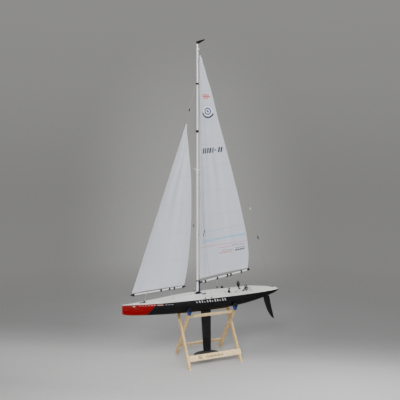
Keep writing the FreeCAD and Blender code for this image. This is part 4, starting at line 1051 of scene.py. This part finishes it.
def main_boom_parts():
    black = Shape()
    for x in (-14, -106, -186, -214, -300):
        clamp(black, boom_place(x), BOOM_ALONG, BOOM_DOWN, 4.25, 2.75, 6.0, 6.2)
    cap = [(0, 0), (0, 4.25), (-13, 4.25), (-13, 5.3), (-12.4, 5.8), (6.0, 5.8), (7.2, 5.1), (7.9, 3.4), (7.9, 0)]
    black.lathe(boom_place(-362) + BOOM_ALONG * 0.2, BOOM_ALONG, cap, 28)
    black.ring(boom_place(-362) + Vector((0, 0, 8.4)), (0, 1, 0), 3.2, 1.3)
    piece = black.turned(MAIN_TURN).build("main_boom_clamps", MATERIALS["black_nylon"], "main_rig", "black_nylon",
                                          bevel=0.2)
    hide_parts("main_boom_fittings")


def jib_boom_parts():
    black = Shape()
    along = Vector((-1, 0, 0))
    for x in (440, 262, 204, 172, 112):
        clamp(black, Vector((x, 0, 436)), along, -UP, 3.25, 2.25, 5.4, 4.8)
    cap = [(0, 0), (0, 3.25), (-8, 3.25), (-8, 3.8), (-7.6, 4.1), (3.9, 4.1), (4.7, 3.4), (5.0, 2.2), (5.0, 0)]
    black.lathe((452.2, 0, 436), -along, cap, 24)
    black.lathe((97.8, 0, 436), along, cap, 24)
    piece = black.turned(JIB_TURN).build("jib_boom_clamps", MATERIALS["black_nylon"], "jib_rig", "black_nylon",
                                         bevel=0.2)
    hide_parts("jib_boom_fittings")


def eye(shape, sail, across, height):
    """A pressed grommet through the cloth."""
    place = sail.point(across, height)
    side = sail.point(across + 1, height) - sail.point(across - 1, height)
    rise = sail.point(across, height + 1) - sail.point(across, height - 1)
    profile = [(-1.0, 1.7), (-1.15, 2.6), (-0.7, 3.3), (0.7, 3.3), (1.15, 2.6), (1.0, 1.7)]
    shape.lathe(place, side.cross(rise).normalized(), profile, 24, hollow=True)
    return place


def sail_hardware():
    """Grommets at the sails' corners with their lashings, and rings up the main's luff wire."""
    def tie(shape, place, low, turn, bow):
        low = turn @ Vector(low)
        shape.tube([place, (place + low) / 2 + Vector((0, bow, 0)), low], 0.5, 8)
    main = Shape()
    tie(main, eye(main, MAIN, 7, 493), (27, 0, 483), MAIN_TURN, 1.2)
    clew = eye(main, MAIN, MAIN.chord(490) - 8, 492)
    tie(main, clew, boom_place(-352) + Vector((0, 0, 4)), MAIN_TURN, 1.2)
    head = eye(main, MAIN, MAIN.chord(1792) / 2, 1794)
    main.tube([head, MAIN_TURN @ Vector((28, 0, 1812)), MAIN_TURN @ Vector((29.2, 0, 1829))], 0.45, 8)
    main.build("main_sail_grommets", MATERIALS["steel"], "main_rig", "rig_wire", sharp=50)
    jib = Shape()
    tie(jib, eye(jib, JIB, 8, 9), (444, 0, 439.3), JIB_TURN, 1.0)
    tie(jib, eye(jib, JIB, JIB.chord(8) - 9, 9), (110, 0, 439.3), JIB_TURN, 1.0)
    head = eye(jib, JIB, 2.2, JIB_LUFF - 9)
    jib.tube([head, JIB_TURN @ (JIB_HEAD + Vector((0.3, 0, 5)))], 0.5, 8)
    jib.build("jib_sail_grommets", MATERIALS["steel"], "jib_rig", "rig_wire", sharp=50)
    rings = Shape()
    for height in range(520, 1795, 106):
        rings.ring(MAIN_TURN @ Vector((LUFF_X, 0, height)), (0.25, 0.1, 1), 2.6, 0.45, 8, 20)
    rings.build("luff_rings", WHITE_NYLON, "main_rig", "black_nylon")


main_boom_parts()
jib_boom_parts()
sail_hardware()


# ---------------------------------------------------------------- cords
def line(name, points, radius, body, node):
    """A cord along a curve through points, out of the first of them."""
    data = bpy.data.curves.new(name, "CURVE")
    data.dimensions = "3D"
    data.bevel_depth = radius * MM
    data.bevel_resolution = 4
    data.resolution_u = 12
    data.use_fill_caps = True
    run = data.splines.new("NURBS")
    run.points.add(len(points) - 1)
    for spot, place in zip(run.points, points):
        spot.co = (*(Vector(place) * MM), 1)
    run.order_u = 3
    run.use_endpoint_u = True
    data.materials.append(MATERIALS["sheet_line"])
    piece = bpy.data.objects.new(name, data)
    bpy.context.collection.objects.link(piece)
    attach(piece, body)
    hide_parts(node)
    length = (Vector(points[-1]) - Vector(points[0])).length * MM
    tuple(Vector(points[0]) * MM)


def cords():
    black = MATERIALS["black_nylon"]
    start = MAIN_TURN @ (boom_place(-106) + Vector((0, 0, -12.6)))
    end = Vector((start.x, start.y, 420))
    hook = Shape()
    hook.lathe(end + Vector((0, 0, 4)), -UP, [(0, 0.6), (0.4, 2.4), (1.6, 3.6), (8.0, 3.8), (9.4, 2.6), (10.0, 0)], 24)
    turns = [math.pi * (0.5 + 1.45 * k / 9) for k in range(10)]
    bend = [end + Vector((2.8 * math.cos(t), 0, -9.0 + 2.8 * math.sin(t))) for t in turns]
    hook.tube([end + Vector((0, 0, -5.0))] + bend, 0.9, 8)
    hook = hook.build("main_sheet_hook", black, "main_rig", "black_nylon", sharp=40)
    line("main_sheet_line", [start, (start + end) / 2 + Vector((0.3, 0, 0)), end], 0.6, "main_rig", "main_sheet")
    start = JIB_TURN @ Vector((204, 0, 426.4))
    end = Vector((195, -6, on_deck(DECK, 197.6, 0) + 5.6))
    line("jib_sheet_line", [start, (start + end) / 2 + Vector((0, 0, -0.6)), end], 0.6, "jib_rig", "jib_lines")
    start = JIB_TURN @ (JIB_HEAD + Vector((0.6, 0, 4)))
    end = JIB_TURN @ JIB_HEAD.lerp(JIB_HOIST, 0.985)
    clip = Shape()
    slider(clip, start, end, 1483, 8, 3.0)
    clip = clip.build("halyard_slider", black, "jib_rig", "black_nylon", sharp=30)
    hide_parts("jib_lines")
    line("jib_halyard_line", [start, (start + end) / 2, end], 0.5, "jib_rig", "jib_lines")


cords()


# ---------------------------------------------------------------- stand hardware
def stand_hardware():
    """Domed bolts with washers and nuts through the legs' crossings."""
    shape = Shape()
    for outer, inner in zip(OUTER_LEGS, INNER_LEGS):
        way = 1 if outer > 0 else -1
        along = Vector((way, 0, 0))
        dome = [(0, 0), (0, 6.9), (0.5, 7.0), (1.4, 6.3), (2.3, 4.6), (2.8, 2.4), (2.9, 0)]
        shape.lathe((outer + way * 6.1, 0, PIVOT_Z), along, dome)
        washer = [(0, 3.1), (0, 8.7), (0.3, 9.0), (3.9, 9.0), (4.2, 8.7), (4.2, 3.1)]
        shape.lathe((outer - way * 6.0, 0, PIVOT_Z), -along, washer, hollow=True)
        seat = Vector((inner - way * 6.2, 0, PIVOT_Z))
        shape.prism([seat + 5.8 * out for out in unit_circle(Vector((0, 1, 0)), UP, 6)], along * -4.8)
        thread = [(0, 0), (0, 3.0)]
        for k in range(14):
            thread += [(0.2 + k * 0.5, 2.7), (0.45 + k * 0.5, 3.0)]
        shape.lathe(seat, -along, thread + [(7.0, 2.5), (7.0, 0)], 24)
        shape.lathe(seat + along * 0.1, along, [(0, 0), (0, 3.0), (18.0, 3.0), (18.0, 0)], 20)
    piece = shape.build("stand_bolts", MATERIALS["steel"], "stand_outer_frame", "steel", bevel=0.3)
    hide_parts("stand_pivot_bolts")


stand_hardware()

CRISP = {"gooseneck_bracket": 0.4, "masthead_crane": 0.3, "jib_deck_plate": 0.5, "power_switch": 0.4,
         "switch_knob": 0.3, "mast_step": 0.5, "chainplates": 0.25, "spreaders": 0.3, "boom_gooseneck": 0.4,
         "keel_bolt": 0.4, "receiver": 0.2, "rudder_servo": 0.5, "sail_winch": 0.5, "battery_pack": 0.4}
for name in ("port_helm_wheel", "starboard_helm_wheel", "helm_pedestals"):
    join = NODES[name].modifiers.new("weld", "WELD")
    join.merge_threshold = 1e-6
    fuller = NODES[name].modifiers.new("fuller", "DISPLACE")
    fuller.strength = 0.7 * MM
    fuller.mid_level = 0.0
for name, width in CRISP.items():
    crisp(name, width)


# ---------------------------------------------------------------- camera, floor and light
AZIMUTH = 0.395
REACH = 2.999
SWEEP_TURN = 0.545


def camera():
    pitch = -0.0712
    data = bpy.data.cameras.new("view")
    data.lens = 45.82
    data.sensor_width = 36
    view = bpy.data.objects.new("view", data)
    bpy.context.collection.objects.link(view)
    view.location = (0.0251 + REACH * math.sin(AZIMUTH), REACH * math.cos(AZIMUTH), 1.173)
    forward = Vector((-math.sin(AZIMUTH) * math.cos(pitch), -math.cos(AZIMUTH) * math.cos(pitch), math.sin(pitch)))
    view.rotation_euler = forward.to_track_quat("-Z", "Y").to_euler()
    bpy.context.scene.camera = view


def floor_look():
    """A grey sweep with light painted into its colour: painted shade behind the boat, painted light in front, and a
    soft painted pool of light, fading out far off.
    """
    pool_back, pool_side, pool_reach = -0.83, 0.175, 0.75
    # Painted light: the floor's tone runs from dark behind the boat to pale in front, as the lamps' falloff.
    tones = [(-1.20, 0.186), (-0.72, 0.188), (-0.50, 0.194), (-0.32, 0.230), (-0.14, 0.306), (0.02, 0.410),
             (0.18, 0.428), (0.32, 0.398), (0.50, 0.335)]
    look = Look("studio_floor")
    x, y, z = look.axes()
    toward = look.along(x, y, SWEEP_TURN)
    across = look.along(x, y, SWEEP_TURN + math.pi / 2)
    start, end = tones[0][0], tones[-1][0]
    sweep = look.ramp(look.span(toward, 0, 1, start, end),
                      [((place - start) / (end - start), (tone, tone * 0.99, tone * 0.995)) for place, tone in tones])
    # Painted light: a soft pool, up to 1.55 times as bright, centred behind the boat.
    back = look.math("MULTIPLY", look.math("SUBTRACT", toward, pool_back), 0.6)
    side = look.math("MULTIPLY", look.math("SUBTRACT", across, pool_side), 0.75)
    pool = look.span(look.length(back, side), 1.0, 1.55, pool_reach, 0.0, "SMOOTHSTEP")
    lit = look.node("ShaderNodeVectorMath", {0: sweep, "Scale": pool}, operation="SCALE").outputs[0]
    look.colour(look.blend(look.math("MULTIPLY", look.noise(0.8, 3), 0.06), lit, (0.34, 0.337, 0.339)))
    look.rough(look.span(look.noise(3, 3), 0.7, 0.85))
    fade = look.span(look.length(x, y), 0.0, 1.0, 3.4, 0.9, "SMOOTHSTEP")
    look.tree.links.new(fade, look.shader.inputs["Alpha"])
    return look.mat


def floor():
    rings, sides, widest = 24, 64, 9000
    ways = unit_circle(Vector((1, 0, 0)), Vector((0, 1, 0)), sides)
    rows = [[widest * (i / rings) ** 1.5 * way - 0.2 * UP for way in ways] for i in range(rings + 1)]
    whole = Shape().grid(rows, around=True)
    mesh = bpy.data.meshes.new("studio_floor")
    mesh.from_pydata([p * MM for p in whole.points], [], whole.faces)
    mesh.materials.append(floor_look())
    piece = bpy.data.objects.new("studio_floor", mesh)
    bpy.context.collection.objects.link(piece)


def lamp(name, place, aim, size, power, spread=180):
    data = bpy.data.lights.new(name, "AREA")
    data.shape = "RECTANGLE"
    data.size, data.size_y = size
    data.energy = power
    data.spread = math.radians(spread)
    light = bpy.data.objects.new(name, data)
    light.location = place
    light.rotation_euler = (Vector(aim) - Vector(place)).to_track_quat("-Z", "Y").to_euler()
    bpy.context.collection.objects.link(light)


def world():
    """A grey backdrop by height, with a soft glow behind the boat."""
    made = bpy.data.worlds.new("studio")
    made.use_nodes = True
    tree = made.node_tree
    way = add_node(tree, "ShaderNodeTexCoord").outputs["Generated"]
    height = add_node(tree, "ShaderNodeSeparateXYZ", {0: way}).outputs["Z"]
    share = add_node(tree, "ShaderNodeMapRange", {"Value": height, "From Min": -0.5, "From Max": 0.5}).outputs[0]
    stops = [(0.0, 0.38), (0.25, 0.232), (0.45, 0.226), (0.50, 0.235), (0.64, 0.265), (0.85, 0.285)]
    tone = add_ramp(tree, share, [(place, (grey, grey * 0.992, grey * 0.965)) for place, grey in stops])
    middle = (-math.sin(AZIMUTH) + 0.02, -math.cos(AZIMUTH), -0.15)
    away = add_node(tree, "ShaderNodeVectorMath", {0: way, 1: middle}, operation="SUBTRACT").outputs[0]
    away = add_node(tree, "ShaderNodeVectorMath", {0: away, 1: (1, 1, 0.6)}, operation="MULTIPLY").outputs[0]
    away = add_node(tree, "ShaderNodeVectorMath", {0: away}, operation="LENGTH").outputs["Value"]
    glow = add_node(tree, "ShaderNodeMapRange", {"Value": away, "From Min": 0.26, "From Max": 0.0, "To Min": 1.0,
                                                 "To Max": 1.75}, interpolation_type="SMOOTHSTEP").outputs[0]
    tree.links.new(tone, tree.nodes["Background"].inputs["Color"])
    tree.links.new(glow, tree.nodes["Background"].inputs["Strength"])
    bpy.context.scene.world = made


camera()
floor()
world()
lamp("key", (2.2, 3.2, 3.2), (0, 0, 0.8), (1.4, 1.4), 165)
lamp("fill", (-3.0, 2.0, 2.2), (0, 0, 0.8), (1.8, 2.2), 40)
lamp("top", (0, -0.4, 4.4), (0, 0, 0), (3.2, 2.6), 66)
lamp("front_floor", (0.55, 2.3, 1.5), (0.35, 1.65, 0), (2.2, 0.7), 78, 70)
lamp("back", (-1.0, -3.2, 3.0), (0, 0, 1.0), (2.4, 2.0), 45)
